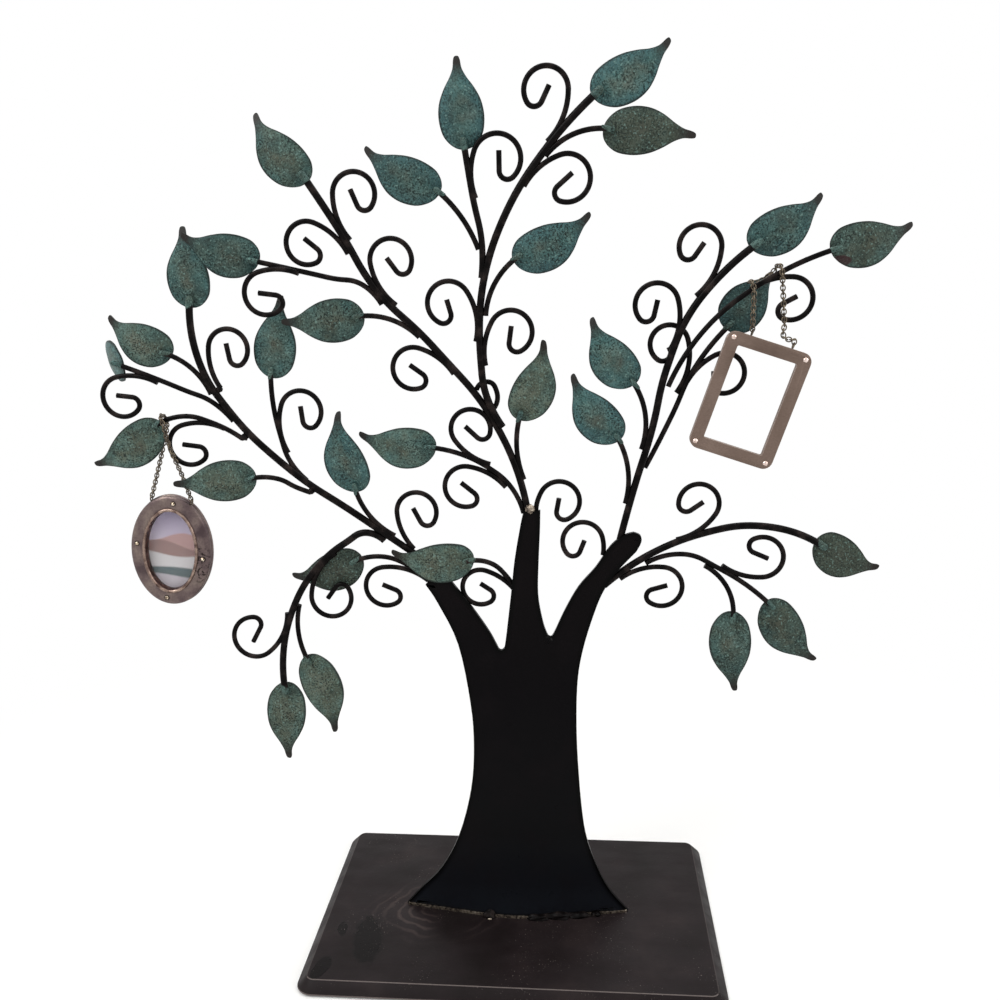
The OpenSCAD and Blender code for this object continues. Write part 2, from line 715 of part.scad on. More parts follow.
module oval_front() {
    color(pewter) oval_place()
        difference() {
            union() {
                intersection() {
                    linear_extrude(height = oval_t / 2) polygon(oval(oval_w, oval_h));
                    translate([0, 0, oval_t / 2 - 260]) sphere(260, $fn = 300);
                }
                // the raised lip round the opening
                linear_extrude(height = oval_t / 2 + 0.5) opening(1.4);
            }
            translate([0, 0, -1]) linear_extrude(height = oval_t + 2) opening();
        }
}
module oval_back() {
    color(pewter) oval_place()
        difference() {
            translate([0, 0, -oval_t / 2])
                linear_extrude(height = oval_t / 2) polygon(oval(oval_w - 0.8, oval_h - 0.8));
            translate([0, 0, -1.6]) linear_extrude(height = oval_t) opening(1.5);
        }
}
module oval_card() {
    color([0.75, 0.72, 0.8]) oval_place()
        translate([0, 0, -1.6]) linear_extrude(height = 0.5) opening(1.3);
}
module oval_window() {
    color([0.8, 0.85, 0.88, 0.4]) oval_place()
        translate([0, 0, -1.1]) linear_extrude(height = 1.1) opening(1.3);
}
module oval_studs() {
    color([0.8, 0.78, 0.75]) oval_place()
        for (a = [0, 90, 180, 270])
            translate([(oval_w - oval_rim) / 2 * cos(a), (oval_h - oval_rim) / 2 * sin(a), 0])
                translate([0, 0, a % 180 == 0 ? 1.6 : 0.8]) intersection() {
                    sphere(1.5);
                    cylinder(r = 2, h = 3);
                }
}
module oval_eyelets() {
    color(brass) oval_place()
        for (s = [-1, 1])
            eyelet(s * oval_lug_u, oval_lug_v, 1.8);
}

// the chain's way over the branch, square to it
function over(a) =
    let (r = twig_r + link_r + link_wire + 0.35)
    hang + [sin(hang_turn) * -r * cos(a), cos(hang_turn) * r * cos(a), r * sin(a)];

module oval_chain() {
    color(brass) tree()
        chain(concat(
            // behind the leaf
            [on_oval(-oval_lug_u + 0.2, oval_lug_v + eye_gap), [-178.4, 253.5, -4.2], [-177.2, 258.5, -4.7],
                [-175.9, 262.6, -5.2], [-174.9, 265.9, -5.1], [-174.2, 268.5, -4.2]],
            [for (a = [-100 : 10 : 100]) over(a)],
            // in front of the scroll
            [[-171.6, 262, 3.4], [-169.6, 255, 3.5], [-167.6, 249.3, 3.1], [-166.2, 244.5, 2.3],
                on_oval(oval_lug_u - 0.2, oval_lug_v + eye_gap)]
        ));
}

base_board();
base_felt();
trunk();
foot_seam();
weld_beads();
bough_left();
bough_droop();
bough_centre();
bough_top();
bough_right();
bough_low();
twigs_left();
twigs_droop();
twigs_centre();
twigs_top();
twigs_right();
twigs_low();
twig_limb();
scrolls_left();
scrolls_droop();
scrolls_centre();
scrolls_top();
scrolls_right();
scrolls_low();
scrolls_limb();
leaves_left();
leaves_droop();
leaves_centre();
leaves_top();
leaves_right();
leaves_low();
leaf_limb();
rect_wrap();
rect_chain();
rect_front();
rect_back();
rect_spacer();
rect_pins();
rect_eyelets();
oval_chain();
oval_front();
oval_back();
oval_window();
oval_card();
oval_studs();
oval_eyelets();
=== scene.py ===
"""Finishes and fine forms of a photo tree stand.

A bent wire tree stands on a bevelled steel plate and carries two small picture frames on chain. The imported
model gives every rigid form and its place. This script dresses those forms, and makes the ones that need
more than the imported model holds: the leaves, the chain's links, the welds, the frames' rims and the base's
softened edges. Sizes are in millimetres and become metres where a mesh is made.
"""

from __future__ import annotations

import logging
import math
from dataclasses import dataclass, field
from enum import Enum

import bmesh
import bpy
from mathutils import Matrix, Vector, noise

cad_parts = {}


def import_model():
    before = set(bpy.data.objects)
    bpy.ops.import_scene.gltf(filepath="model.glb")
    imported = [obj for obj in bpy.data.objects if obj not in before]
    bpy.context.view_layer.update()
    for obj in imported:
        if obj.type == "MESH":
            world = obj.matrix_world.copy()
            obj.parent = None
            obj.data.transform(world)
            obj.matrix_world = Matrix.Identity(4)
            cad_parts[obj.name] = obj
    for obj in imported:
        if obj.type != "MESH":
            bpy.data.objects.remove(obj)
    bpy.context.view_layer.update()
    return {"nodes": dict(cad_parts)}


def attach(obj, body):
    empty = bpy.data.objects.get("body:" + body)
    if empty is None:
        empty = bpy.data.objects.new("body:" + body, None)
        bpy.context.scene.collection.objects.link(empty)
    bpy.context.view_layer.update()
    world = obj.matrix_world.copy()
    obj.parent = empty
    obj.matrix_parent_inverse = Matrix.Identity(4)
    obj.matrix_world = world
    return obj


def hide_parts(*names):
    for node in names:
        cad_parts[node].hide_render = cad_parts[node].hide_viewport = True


LOG = logging.getLogger("photo_tree")

MM = 0.001
BASE_TOP = 6.4
TREE_Y = -3.5
# where the oval frame hangs on the tree's flat view, and its turn in degrees
OVAL_MIDDLE = (-176, 204, 0)
OVAL_TURN = -5.0
# how far a weld's surface swells, as a share of its radius, and its waves for each metre
WELD_SWELL = 0.28
WELD_WAVES = 900


class Body(Enum):
    """The bodies that a piece may ride on."""

    STAND = "stand"
    RECT_CHAIN = "rect_chain"
    RECT_FRAME = "rect_frame"
    OVAL_CHAIN = "oval_chain"
    OVAL_FRAME = "oval_frame"


def on_tree(x: float, y: float, z: float = 0.0) -> Vector:
    """Gives the place of a point of the tree's flat view.

    Args:
        x: Millimetres to the viewer's right of the trunk's foot.
        y: Millimetres above the base's top.
        z: Millimetres in front of the tree's plane.

    Returns:
        The point in the row frame, in metres.
    """
    return Vector((x, TREE_Y - z, BASE_TOP + y)) * MM


def linear(code: str) -> tuple[float, float, float, float]:
    """Turns an sRGB hex value into a linear colour.

    Args:
        code: Six hex digits after a hash sign.

    Returns:
        Linear red, green and blue, and an alpha of one.
    """
    parts = [int(code[i : i + 2], 16) / 255 for i in (1, 3, 5)]
    return (*[c / 12.92 if c <= 0.04045 else ((c + 0.055) / 1.055) ** 2.4 for c in parts], 1.0)


def add_node(
    tree: bpy.types.NodeTree,
    kind: str,
    settings: dict | None = None,
    links: dict | None = None,
) -> bpy.types.Node:
    """Adds a node with its settings and its links.

    Args:
        tree: The node tree that gets the node.
        kind: The node's type, such as ShaderNodeMix.
        settings: Properties by name, and unlinked inputs by name or number.
        links: The output socket that feeds each input, by the input's name or number.

    Returns:
        The new node.
    """
    node = tree.nodes.new(kind)
    for key, value in (settings or {}).items():
        if isinstance(key, str) and hasattr(node, key):
            setattr(node, key, value)
        else:
            node.inputs[key].default_value = value
    for key, source in (links or {}).items():
        tree.links.new(source, node.inputs[key])
    return node


def ramp(
    source: bpy.types.NodeSocket,
    stops: list[tuple[float, str]],
) -> bpy.types.NodeSocket:
    """Maps a value to colours through a ramp.

    Args:
        source: The value that is mapped.
        stops: Positions from 0 to 1 with their hex colours.

    Returns:
        The ramp's colour socket.
    """
    node = add_node(source.id_data, "ShaderNodeValToRGB", links={0: source})
    marks = node.color_ramp.elements
    while len(marks) < len(stops):
        marks.new(0.5)
    for mark, (place, code) in zip(marks, stops):
        mark.position = place
        mark.color = linear(code)
    return node.outputs["Color"]


def grain(
    tree: bpy.types.NodeTree,
    size: float,
    detail: float = 2.0,
    stretch: tuple[float, float, float] = (1, 1, 1),
) -> bpy.types.NodeSocket:
    """Makes noise of a real size on the piece's own coordinates.

    Args:
        tree: The node tree that gets the noise.
        size: The size of one blotch in millimetres.
        detail: How many finer layers the noise has.
        stretch: How much finer the noise is along each axis.

    Returns:
        The noise's value socket.
    """
    place = add_node(tree, "ShaderNodeTexCoord").outputs["Object"]
    if stretch != (1, 1, 1):
        place = add_node(tree, "ShaderNodeMapping", {"Scale": stretch}, {"Vector": place}).outputs[0]
    settings = {"Scale": 1 / (size * MM), "Detail": detail}
    return add_node(tree, "ShaderNodeTexNoise", settings, {"Vector": place}).outputs[0]


def stretch_range(
    source: bpy.types.NodeSocket,
    low: float,
    high: float,
    to: tuple[float, float] = (0, 1),
) -> bpy.types.NodeSocket:
    """Spreads part of a value's range over another range.

    Args:
        source: The value that is spread.
        low: The value that becomes the first of the new range.
        high: The value that becomes the second of the new range.
        to: The new range.

    Returns:
        The new value's socket.
    """
    settings = {"clamp": True, "From Min": low, "From Max": high, "To Min": to[0], "To Max": to[1]}
    return add_node(source.id_data, "ShaderNodeMapRange", settings, {"Value": source}).outputs[0]


def mixed(
    share: bpy.types.NodeSocket,
    first: bpy.types.NodeSocket | str,
    second: bpy.types.NodeSocket | str,
) -> bpy.types.NodeSocket:
    """Mixes two colours by a share.

    Args:
        share: How much of the second colour shows.
        first: A hex colour or a colour socket.
        second: A hex colour or a colour socket.

    Returns:
        The mixed colour's socket.
    """
    settings, links = {"data_type": "RGBA"}, {0: share}
    for number, colour in ((6, first), (7, second)):
        if isinstance(colour, str):
            settings[number] = linear(colour)
        else:
            links[number] = colour
    return add_node(share.id_data, "ShaderNodeMix", settings, links).outputs[2]


def times(
    first: bpy.types.NodeSocket,
    second: bpy.types.NodeSocket | float,
    way: str = "MULTIPLY",
) -> bpy.types.NodeSocket:
    """Combines two values, by a product unless another operation is named.

    Args:
        first: The first value's socket.
        second: A number or another value's socket.
        way: The operation's name.

    Returns:
        The result's socket.
    """
    if isinstance(second, (int, float)):
        return add_node(first.id_data, "ShaderNodeMath", {"operation": way, 1: second}, {0: first}).outputs[0]
    return add_node(first.id_data, "ShaderNodeMath", {"operation": way}, {0: first, 1: second}).outputs[0]


@dataclass(frozen=True)
class Spot:
    """A soft oval area on a surface: its middle, its half sizes and its turn, in millimetres and degrees."""

    middle: tuple[float, float, float]
    half: tuple[float, float, float]
    turn: float = 0.0
    ragged: float = 0.5
    ripple: float = 5.0
    fade: float = 0.2

    def mask(self, tree: bpy.types.NodeTree) -> bpy.types.NodeSocket:
        """Makes the area's mask.

        Args:
            tree: The material's node tree.

        Returns:
            A value of one inside the area and none outside.
        """
        place = add_node(tree, "ShaderNodeTexCoord").outputs["Object"]
        settings = {
            "vector_type": "TEXTURE",
            "Location": [v * MM for v in self.middle],
            "Rotation": (0, 0, math.radians(self.turn)),
            "Scale": [v * MM for v in self.half],
        }
        near = add_node(tree, "ShaderNodeMapping", settings, {"Vector": place}).outputs[0]
        away = add_node(tree, "ShaderNodeVectorMath", {"operation": "LENGTH"}, {0: near}).outputs["Value"]
        uneven = times(times(grain(tree, self.ripple), 0.5, "SUBTRACT"), self.ragged)
        return stretch_range(times(away, uneven, "ADD"), 1 + self.fade / 2, 1 - self.fade / 2)


@dataclass(frozen=True)
class Finish:
    """What every finish shares: a name, a sheen and how metallic it is."""

    name: str
    roughness: float = 0.5
    metallic: float = 0.0
    specular: float = 0.5

    def start(self) -> tuple[bpy.types.Material, bpy.types.NodeTree, bpy.types.Node]:
        """Makes the material with its shader.

        Returns:
            The material, its node tree and its shader node.
        """
        material = bpy.data.materials.new(self.name)
        material.use_nodes = True
        tree = material.node_tree
        shader = tree.nodes["Principled BSDF"]
        shader.inputs["Roughness"].default_value = self.roughness
        shader.inputs["Metallic"].default_value = self.metallic
        shader.inputs["Specular IOR Level"].default_value = self.specular
        return material, tree, shader

    def relief(
        self,
        tree: bpy.types.NodeTree,
        shader: bpy.types.Node,
        height: bpy.types.NodeSocket,
        depth: float,
    ) -> None:
        """Gives the shader a fine relief.

        Args:
            tree: The material's node tree.
            shader: The shader node.
            height: The relief's height from 0 to 1.
            depth: The relief's depth in millimetres.
        """
        bump = add_node(tree, "ShaderNodeBump", {"Distance": depth * MM, "Strength": 1.0}, {"Height": height})
        tree.links.new(bump.outputs[0], shader.inputs["Normal"])


@dataclass(frozen=True)
class BlackWire(Finish):
    """Mild steel wire under black lacquer: near black, with a soft brown where the light grazes it."""

    name: str = "black_lacquered_wire"
    roughness: float = 0.34
    specular: float = 0.045

    def build(self) -> bpy.types.Material:
        """Makes the material.

        Returns:
            The finished material.
        """
        material, tree, shader = self.start()
        cloud = grain(tree, 6.0, 3.0)
        colour = ramp(cloud, [(0.34, "#060505"), (0.52, "#120f0f"), (0.72, "#2e2725")])
        tree.links.new(colour, shader.inputs["Base Color"])
        tree.links.new(stretch_range(cloud, 0.3, 0.7, (0.26, 0.42)), shader.inputs["Roughness"])
        self.relief(tree, shader, grain(tree, 0.9), 0.02)
        return material


@dataclass(frozen=True)
class TrunkSheet(Finish):
    """Black lacquered sheet steel, brown at the limbs, with a painted bluish sheen at its foot and a painted
    dark reflection on its rolled edges.
    """

    name: str = "black_lacquered_sheet"
    roughness: float = 0.3
    specular: float = 0.05

    def build(self) -> bpy.types.Material:
        """Makes the material.

        Returns:
            The finished material.
        """
        material, tree, shader = self.start()
        place = add_node(tree, "ShaderNodeTexCoord").outputs["Object"]
        height = add_node(tree, "ShaderNodeSeparateXYZ", links={0: place}).outputs["Z"]
        # the foot's lighter, bluish colour is a painted sheen that makes up for the weaker light low on the
        # trunk
        tone = stretch_range(height, 0.006, 0.2)
        stops = [(0.0, "#202329"), (0.1, "#15161a"), (0.26, "#09090b"), (0.7, "#070507"), (1.0, "#0b0809")]
        colour = ramp(tone, stops)
        cloud = grain(tree, 16.0, 4.0)
        colour = mixed(stretch_range(cloud, 0.45, 0.75, (0, 0.4)), colour, "#120d0f")
        # painted dark reflection on the rolled edge strip, where the sheet turns back
        rim = add_node(tree, "ShaderNodeAttribute", {"attribute_name": "rolled"}).outputs["Fac"]
        colour = mixed(stretch_range(rim, 0.2, 0.9), colour, "#020202")
        tree.links.new(colour, shader.inputs["Base Color"])
        tree.links.new(stretch_range(cloud, 0.3, 0.7, (0.26, 0.38)), shader.inputs["Roughness"])
        self.relief(tree, shader, grain(tree, 2.4, 2.0), 0.02)
        return material


@dataclass(frozen=True)
class BasePlate(Finish):
    """Charcoal lacquer on steel plate: a satin brown black with dust, wiped rings and dark drips."""

    name: str = "charcoal_lacquered_plate"
    roughness: float = 0.45
    specular: float = 0.1
    drips: tuple[Spot, ...] = (
        Spot((-77, -34, BASE_TOP), (7.5, 19, 30), 8),
        Spot((-92, -26, BASE_TOP), (2.6, 6, 30), 10),
        Spot((-96, -56, BASE_TOP), (4, 9, 30), -15),
    )
    # glue was wiped round in rings beside the foot
    wiped: Spot = Spot((-42, -8, BASE_TOP), (34, 24, 60), 10, 0.3, 14.0, 0.6)

    def build(self) -> bpy.types.Material:
        """Makes the material.

        Returns:
            The finished material.
        """
        material, tree, shader = self.start()
        cloud = grain(tree, 26.0, 4.0)
        colour = ramp(cloud, [(0.3, "#161111"), (0.55, "#1d1718"), (0.75, "#272020")])
        dark = self.drips[0].mask(tree)
        for drip in self.drips[1:]:
            dark = times(dark, drip.mask(tree), "MAXIMUM")
        colour = mixed(times(dark, 0.85), colour, "#080505")
        ring = self.wiped.mask(tree)
        settings = {"Location": (-42 * MM, -8 * MM, 0), "Scale": (MM, 0.8 * MM, 1), "vector_type": "TEXTURE"}
        place = add_node(tree, "ShaderNodeTexCoord").outputs["Object"]
        centred = add_node(tree, "ShaderNodeMapping", settings, {"Vector": place}).outputs[0]
        settings = {
            "wave_type": "RINGS",
            "rings_direction": "Z",
            "Scale": 0.05,
            "Distortion": 14.0,
            "Detail": 4.0,
            "Detail Scale": 0.5,
        }
        swirl = add_node(tree, "ShaderNodeTexWave", settings, {"Vector": centred}).outputs["Fac"]
        wiped = times(stretch_range(swirl, 0.6, 1.0), stretch_range(cloud, 0.4, 0.6))
        colour = mixed(times(times(ring, wiped), 0.4), colour, "#4d423f")
        dust = stretch_range(grain(tree, 0.8, 1.0), 0.69, 0.77)
        patch = stretch_range(grain(tree, 18.0), 0.5, 0.68)
        colour = mixed(times(times(dust, patch), 0.6), colour, "#9a8f89")
        # lighter rounded edges: wear, with a painted highlight that is strongest at the front
        wear_and_highlight = add_node(tree, "ShaderNodeAttribute", {"attribute_name": "wear_and_highlight"}).outputs["Fac"]
        colour = mixed(times(wear_and_highlight, 0.8), colour, "#6f6663")
        tree.links.new(colour, shader.inputs["Base Color"])
        smear = grain(tree, 9.0, 3.0, (0.35, 1, 1))
        dull = stretch_range(smear, 0.35, 0.65, (0.4, 0.56))
        tree.links.new(times(dull, times(dark, -0.18), "ADD"), shader.inputs["Roughness"])
        height = times(grain(tree, 1.4), times(dark, 0.6), "ADD")
        self.relief(tree, shader, height, 0.05)
        return material


@dataclass(frozen=True)
class Felt(Finish):
    """Pressed black felt."""

    name: str = "pressed_black_felt"
    roughness: float = 0.95
    specular: float = 0.1

    def build(self) -> bpy.types.Material:
        """Makes the material.

        Returns:
            The finished material.
        """
        material, tree, shader = self.start()
        fibre = grain(tree, 0.6, 3.0)
        tree.links.new(ramp(fibre, [(0.3, "#0c0c0d"), (0.7, "#1d1d1f")]), shader.inputs["Base Color"])
        self.relief(tree, shader, fibre, 0.1)
        return material


@dataclass(frozen=True)
class Verdigris(Finish):
    """Sheet steel with a painted verdigris patina: dull sea green, finely pitted, worn to olive brown."""

    name: str = "verdigris_patina_sheet"
    roughness: float = 0.5
    metallic: float = 0.1
    specular: float = 0.16

    def build(self) -> bpy.types.Material:
        """Makes the material.

        Returns:
            The finished material.
        """
        material, tree, shader = self.start()
        along, rim, olive, deep = (
            add_node(tree, "ShaderNodeAttribute", {"attribute_name": name}).outputs["Fac"]
            for name in ("along", "rim", "olive", "deep")
        )
        cloud = grain(tree, 8.0, 3.0)
        green = ramp(cloud, [(0.3, "#395858"), (0.5, "#466967"), (0.7, "#557a77")])
        brown = ramp(cloud, [(0.3, "#4a5449"), (0.5, "#596558"), (0.7, "#687467")])
        # the middle is worn to an olive brown that fades out smoothly
        heart = times(stretch_range(along, 0.04, 0.36), stretch_range(along, 0.82, 0.42))
        heart = times(heart, stretch_range(rim, 0.85, 0.05))
        patch = times(times(grain(tree, 6.0, 3.0), 0.5, "SUBTRACT"), 1.4)
        share = times(times(olive, times(heart, 0.35), "ADD"), patch, "ADD")
        colour = mixed(stretch_range(share, 0.1, 1.0), green, brown)
        wear_and_highlight = times(heart, stretch_range(patch, -0.1, 0.4, (0.15, 1.0)))
        colour = mixed(times(wear_and_highlight, 0.5), colour, "#5e5047")
        fresh = times(stretch_range(olive, 0.35, 0.05), stretch_range(rim, 0.2, 0.95))
        colour = mixed(times(fresh, 0.3), colour, "#466a76")
        colour = mixed(times(deep, 0.75), colour, "#1a1d19")
        # grit of about half a millimetre, drawn a little coarser to show
        pits = stretch_range(grain(tree, 0.8, 2.0), 0.47, 0.6)
        heavy = stretch_range(grain(tree, 11.0, 2.0), 0.35, 0.65, (0.5, 0.95))
        colour = mixed(times(pits, heavy), colour, "#18211f")
        flecks = stretch_range(grain(tree, 1.0, 2.0, (1, 1.01, 0.99)), 0.58, 0.7)
        colour = mixed(times(flecks, 0.45), colour, "#86a8a0")
        colour = mixed(stretch_range(along, 0.72, 0.92, (0, 0.95)), colour, "#231e1c")
        # one leaf at the right has lost its patina beside its wire
        bare = Spot((153, 0, 350.4), (4.2, 30, 2.6), 0, 0.4, 3.0).mask(tree)
        colour = mixed(times(bare, 0.85), colour, "#3a2326")
        edge = stretch_range(rim, 0.88, 0.97)
        colour = mixed(times(edge, 0.85), colour, "#1a201e")
        tree.links.new(colour, shader.inputs["Base Color"])
        tree.links.new(stretch_range(patch, -0.3, 0.3, (0.42, 0.62)), shader.inputs["Roughness"])
        self.relief(tree, shader, grain(tree, 0.8, 2.0), 0.05)
        return material


@dataclass(frozen=True)
class Solder(Finish):
    """Tin solder and weld spatter, tarnished between bright lumps."""

    name: str = "tarnished_solder"
    roughness: float = 0.42
    metallic: float = 0.75

    def build(self) -> bpy.types.Material:
        """Makes the material.

        Returns:
            The finished material.
        """
        material, tree, shader = self.start()
        cloud = grain(tree, 1.6, 3.0)
        colour = ramp(cloud, [(0.35, "#3a332e"), (0.55, "#8d8072"), (0.75, "#c2b7a6")])
        tree.links.new(colour, shader.inputs["Base Color"])
        self.relief(tree, shader, grain(tree, 0.7, 2.0), 0.15)
        return material


@dataclass(frozen=True)
class Metal(Finish):
    """A brushed or cast metal with tarnish in its low places and a painted highlight on its rounded edges."""

    bright: str = "#a8948a"
    middle: str = "#8c7870"
    dark: str = "#4b3f3a"
    blotch: float = 5.0
    brush: tuple[float, float, float] = (1, 1, 1)
    brush_size: float = 0.5
    depth: float = 0.02
    streak: float = 0.35
    pitted: Spot | None = None
    # the colour of the painted highlight on rounded edges
    edge: str = "#b9a79c"

    def build(self) -> bpy.types.Material:
        """Makes the material.

        Returns:
            The finished material.
        """
        material, tree, shader = self.start()
        cloud = grain(tree, self.blotch, 4.0)
        colour = ramp(cloud, [(0.28, self.dark), (0.46, self.middle), (0.7, self.bright)])
        lines = grain(tree, self.brush_size, 2.0, self.brush)
        colour = mixed(stretch_range(lines, 0.45, 0.7, (0, self.streak)), colour, self.dark)
        height = lines
        if self.pitted:
            deep = stretch_range(grain(tree, 1.3, 1.0), 0.55, 0.62)
            holes = times(deep, self.pitted.mask(tree))
            colour = mixed(times(holes, 0.9), colour, "#1c1512")
            height = times(lines, times(holes, 3.0), "SUBTRACT")
        # the rounded edges get a painted highlight
        wear_and_highlight = add_node(tree, "ShaderNodeAttribute", {"attribute_name": "wear_and_highlight"}).outputs["Fac"]
        colour = mixed(times(wear_and_highlight, 0.7), colour, self.edge)
        tree.links.new(colour, shader.inputs["Base Color"])
        rough = (self.roughness - 0.08, self.roughness + 0.12)
        tree.links.new(stretch_range(lines, 0.3, 0.7, rough), shader.inputs["Roughness"])
        self.relief(tree, shader, height, self.depth)
        return material


@dataclass(frozen=True)
class ClearSheet(Finish):
    """Clear acrylic sheet, thin enough to show only by its glints."""

    name: str = "clear_acrylic"
    roughness: float = 0.08

    def build(self) -> bpy.types.Material:
        """Makes the material.

        Returns:
            The finished material.
        """
        material, _, shader = self.start()
        shader.inputs["Base Color"].default_value = linear("#c9cfd2")
        shader.inputs["Alpha"].default_value = 0.1
        return material


@dataclass(frozen=True)
class HillCard(Finish):
    """Printed card with a plain view of hills: pale lilac sky, rosy brown hills, white field, dark lake."""

    name: str = "printed_card"
    roughness: float = 0.35

    def below(
        self,
        across: bpy.types.NodeSocket,
        up: bpy.types.NodeSocket,
        line: tuple[float, float, float],
    ) -> bpy.types.NodeSocket:
        """Makes the mask of the land below a rolling line.

        Args:
            across: The place across the card, from -1 to 1.
            up: The place up the card, from -1 to 1.
            line: The line's middle height, how far it rolls and where its waves begin.

        Returns:
            A value of one below the line.
        """
        level, wave, shift = line
        roll = times(times(times(across, 2.1), shift, "ADD"), 0.0, "SINE")
        edge = times(times(roll, wave), level, "ADD")
        return stretch_range(times(edge, up, "SUBTRACT"), -0.02, 0.03)

    def build(self) -> bpy.types.Material:
        """Makes the material.

        Returns:
            The finished material.
        """
        material, tree, shader = self.start()
        uv = add_node(tree, "ShaderNodeUVMap", {"uv_map": "UVMap"}).outputs[0]
        parts = add_node(tree, "ShaderNodeSeparateXYZ", links={0: uv})
        across = stretch_range(parts.outputs[0], 0, 1, (-1, 1))
        up = stretch_range(parts.outputs[1], 0, 1, (-1, 1))
        sky = [(0.0, "#e3d9e2"), (0.5, "#c3b4cd"), (1.0, "#9f8fb4")]
        colour = ramp(stretch_range(up, -0.2, 1.0), sky)
        for line, tint in (
            ((0.3, 0.13, 0.6), "#b98a86"),
            ((0.12, 0.1, 2.6), "#8d5f57"),
            ((-0.12, 0.05, 4.2), "#dcd7d9"),
            ((-0.46, 0.02, 1.1), "#1f4347"),
            ((-0.66, 0.03, 3.0), "#cfc6cf"),
        ):
            colour = mixed(self.below(across, up, line), colour, tint)
        tree.links.new(colour, shader.inputs["Base Color"])
        return material


@dataclass(frozen=True)
class Stone(Finish):
    """A small set paste stone: clear and cold, with painted glints on its facets and warm ones between them.
    """

    name: str = "paste_stone"
    roughness: float = 0.08
    metallic: float = 0.6

    def build(self) -> bpy.types.Material:
        """Makes the material.

        Returns:
            The finished material.
        """
        material, tree, shader = self.start()
        place = add_node(tree, "ShaderNodeTexCoord").outputs["Object"]
        # painted glints: the colour is bright and cold at the middle of each cell, warm and dark between
        # cells
        facet = add_node(tree, "ShaderNodeTexVoronoi", {"Scale": 1 / (0.9 * MM)}, {"Vector": place})
        stops = [(0.0, "#fdf6ee"), (0.45, "#cdb9a0"), (0.8, "#5a4634")]
        tree.links.new(ramp(facet.outputs["Distance"], stops), shader.inputs["Base Color"])
        return material


BRUSHED_BRONZE = Metal(
    "brushed_bronze",
    0.4,
    0.75,
    0.5,
    bright="#7d6b61",
    middle="#6f5e54",
    dark="#594840",
    blotch=22.0,
    brush=(1, 1, 6),
    brush_size=1.2,
    streak=0.32,
)


PEWTER = Metal(
    "antiqued_pewter",
    0.4,
    0.75,
    0.5,
    bright="#80716a",
    middle="#655655",
    dark="#483b3d",
    blotch=7.0,
    brush_size=0.9,
    depth=0.06,
    pitted=Spot((-160, -7, 203.5), (5.5, 8, 10), 0, 0.8, 3.0, 0.5),
)


# light bronze all round the raised lip: a painted highlight
LIP_HIGHLIGHT_METAL = Metal(
    "bronze_lip_painted_highlight", 0.3, 0.85, 0.5, "#b09a8c", "#836e64", "#4b3833", 3.0, brush_size=0.8, streak=0.3
)


# dark bronze for the recess wall and the groove between the rings: painted shade in these hollows
RECESS_SHADE_METAL = Metal(
    "bronze_recess_painted_shade", 0.4, 0.6, 0.4, "#6d4a40", "#4a302b", "#2a1a18", 3.0, brush_size=0.8
)


PIN_METAL = Metal("bright_nickel_pin", 0.25, 0.9, 0.5, "#f2e2da", "#dcc6bc", "#a88c80", 1.5, brush_size=0.4)


CHAIN_METAL = Metal(
    "antiqued_brass_chain", 0.36, 0.8, 0.5, "#837764", "#5a5044", "#28221d", 1.8, brush_size=0.4
)


# dark metal: on the spacer between the plates it is painted shade in the gap; on the stones' cups it is the
# settings' own dark
GAP_SHADE_AND_SETTING_METAL = Metal("dark_gap_shade_and_settings", 0.55, 0.6, 0.4, "#4a403b", "#342c28", "#1c1714", 3.0, brush_size=0.6)


def dress(piece: bpy.types.Object, material: bpy.types.Material) -> None:
    """Gives a piece one material.

    Args:
        piece: The piece.
        material: Its only material.
    """
    piece.data.materials.clear()
    piece.data.materials.append(material)


def seat(
    mesh: bmesh.types.BMesh,
    name: str,
    body: Body,
    slot: str,
    stands_for: tuple[str, ...],
    material: bpy.types.Material,
    smooth: float = 35.0,
) -> bpy.types.Object:
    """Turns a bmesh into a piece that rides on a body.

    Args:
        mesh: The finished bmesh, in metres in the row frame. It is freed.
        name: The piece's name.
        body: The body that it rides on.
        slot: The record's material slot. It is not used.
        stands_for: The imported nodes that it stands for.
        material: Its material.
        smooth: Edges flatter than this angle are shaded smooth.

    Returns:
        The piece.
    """
    data = bpy.data.meshes.new(name)
    mesh.to_mesh(data)
    mesh.free()
    piece = bpy.data.objects.new(name, data)
    bpy.context.scene.collection.objects.link(piece)
    data.shade_smooth()
    data.set_sharp_from_angle(angle=math.radians(smooth))
    dress(piece, material)
    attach(piece, body.value)
    if stands_for:
        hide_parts(*stands_for)
    LOG.info("%s: %d faces on %s", name, len(data.polygons), body.value)
    return piece


def merged(node: bpy.types.Object) -> bmesh.types.BMesh:
    """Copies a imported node's mesh and joins its loose triangles.

    Args:
        node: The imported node's object.

    Returns:
        A bmesh whose flat faces are whole.
    """
    mesh = bmesh.new()
    mesh.from_mesh(node.data)
    bmesh.ops.remove_doubles(mesh, verts=mesh.verts, dist=0.002 * MM)
    bmesh.ops.dissolve_degenerate(mesh, edges=mesh.edges, dist=0.001 * MM)
    bmesh.ops.dissolve_limit(mesh, angle_limit=math.radians(0.5), verts=mesh.verts, edges=mesh.edges)
    return mesh


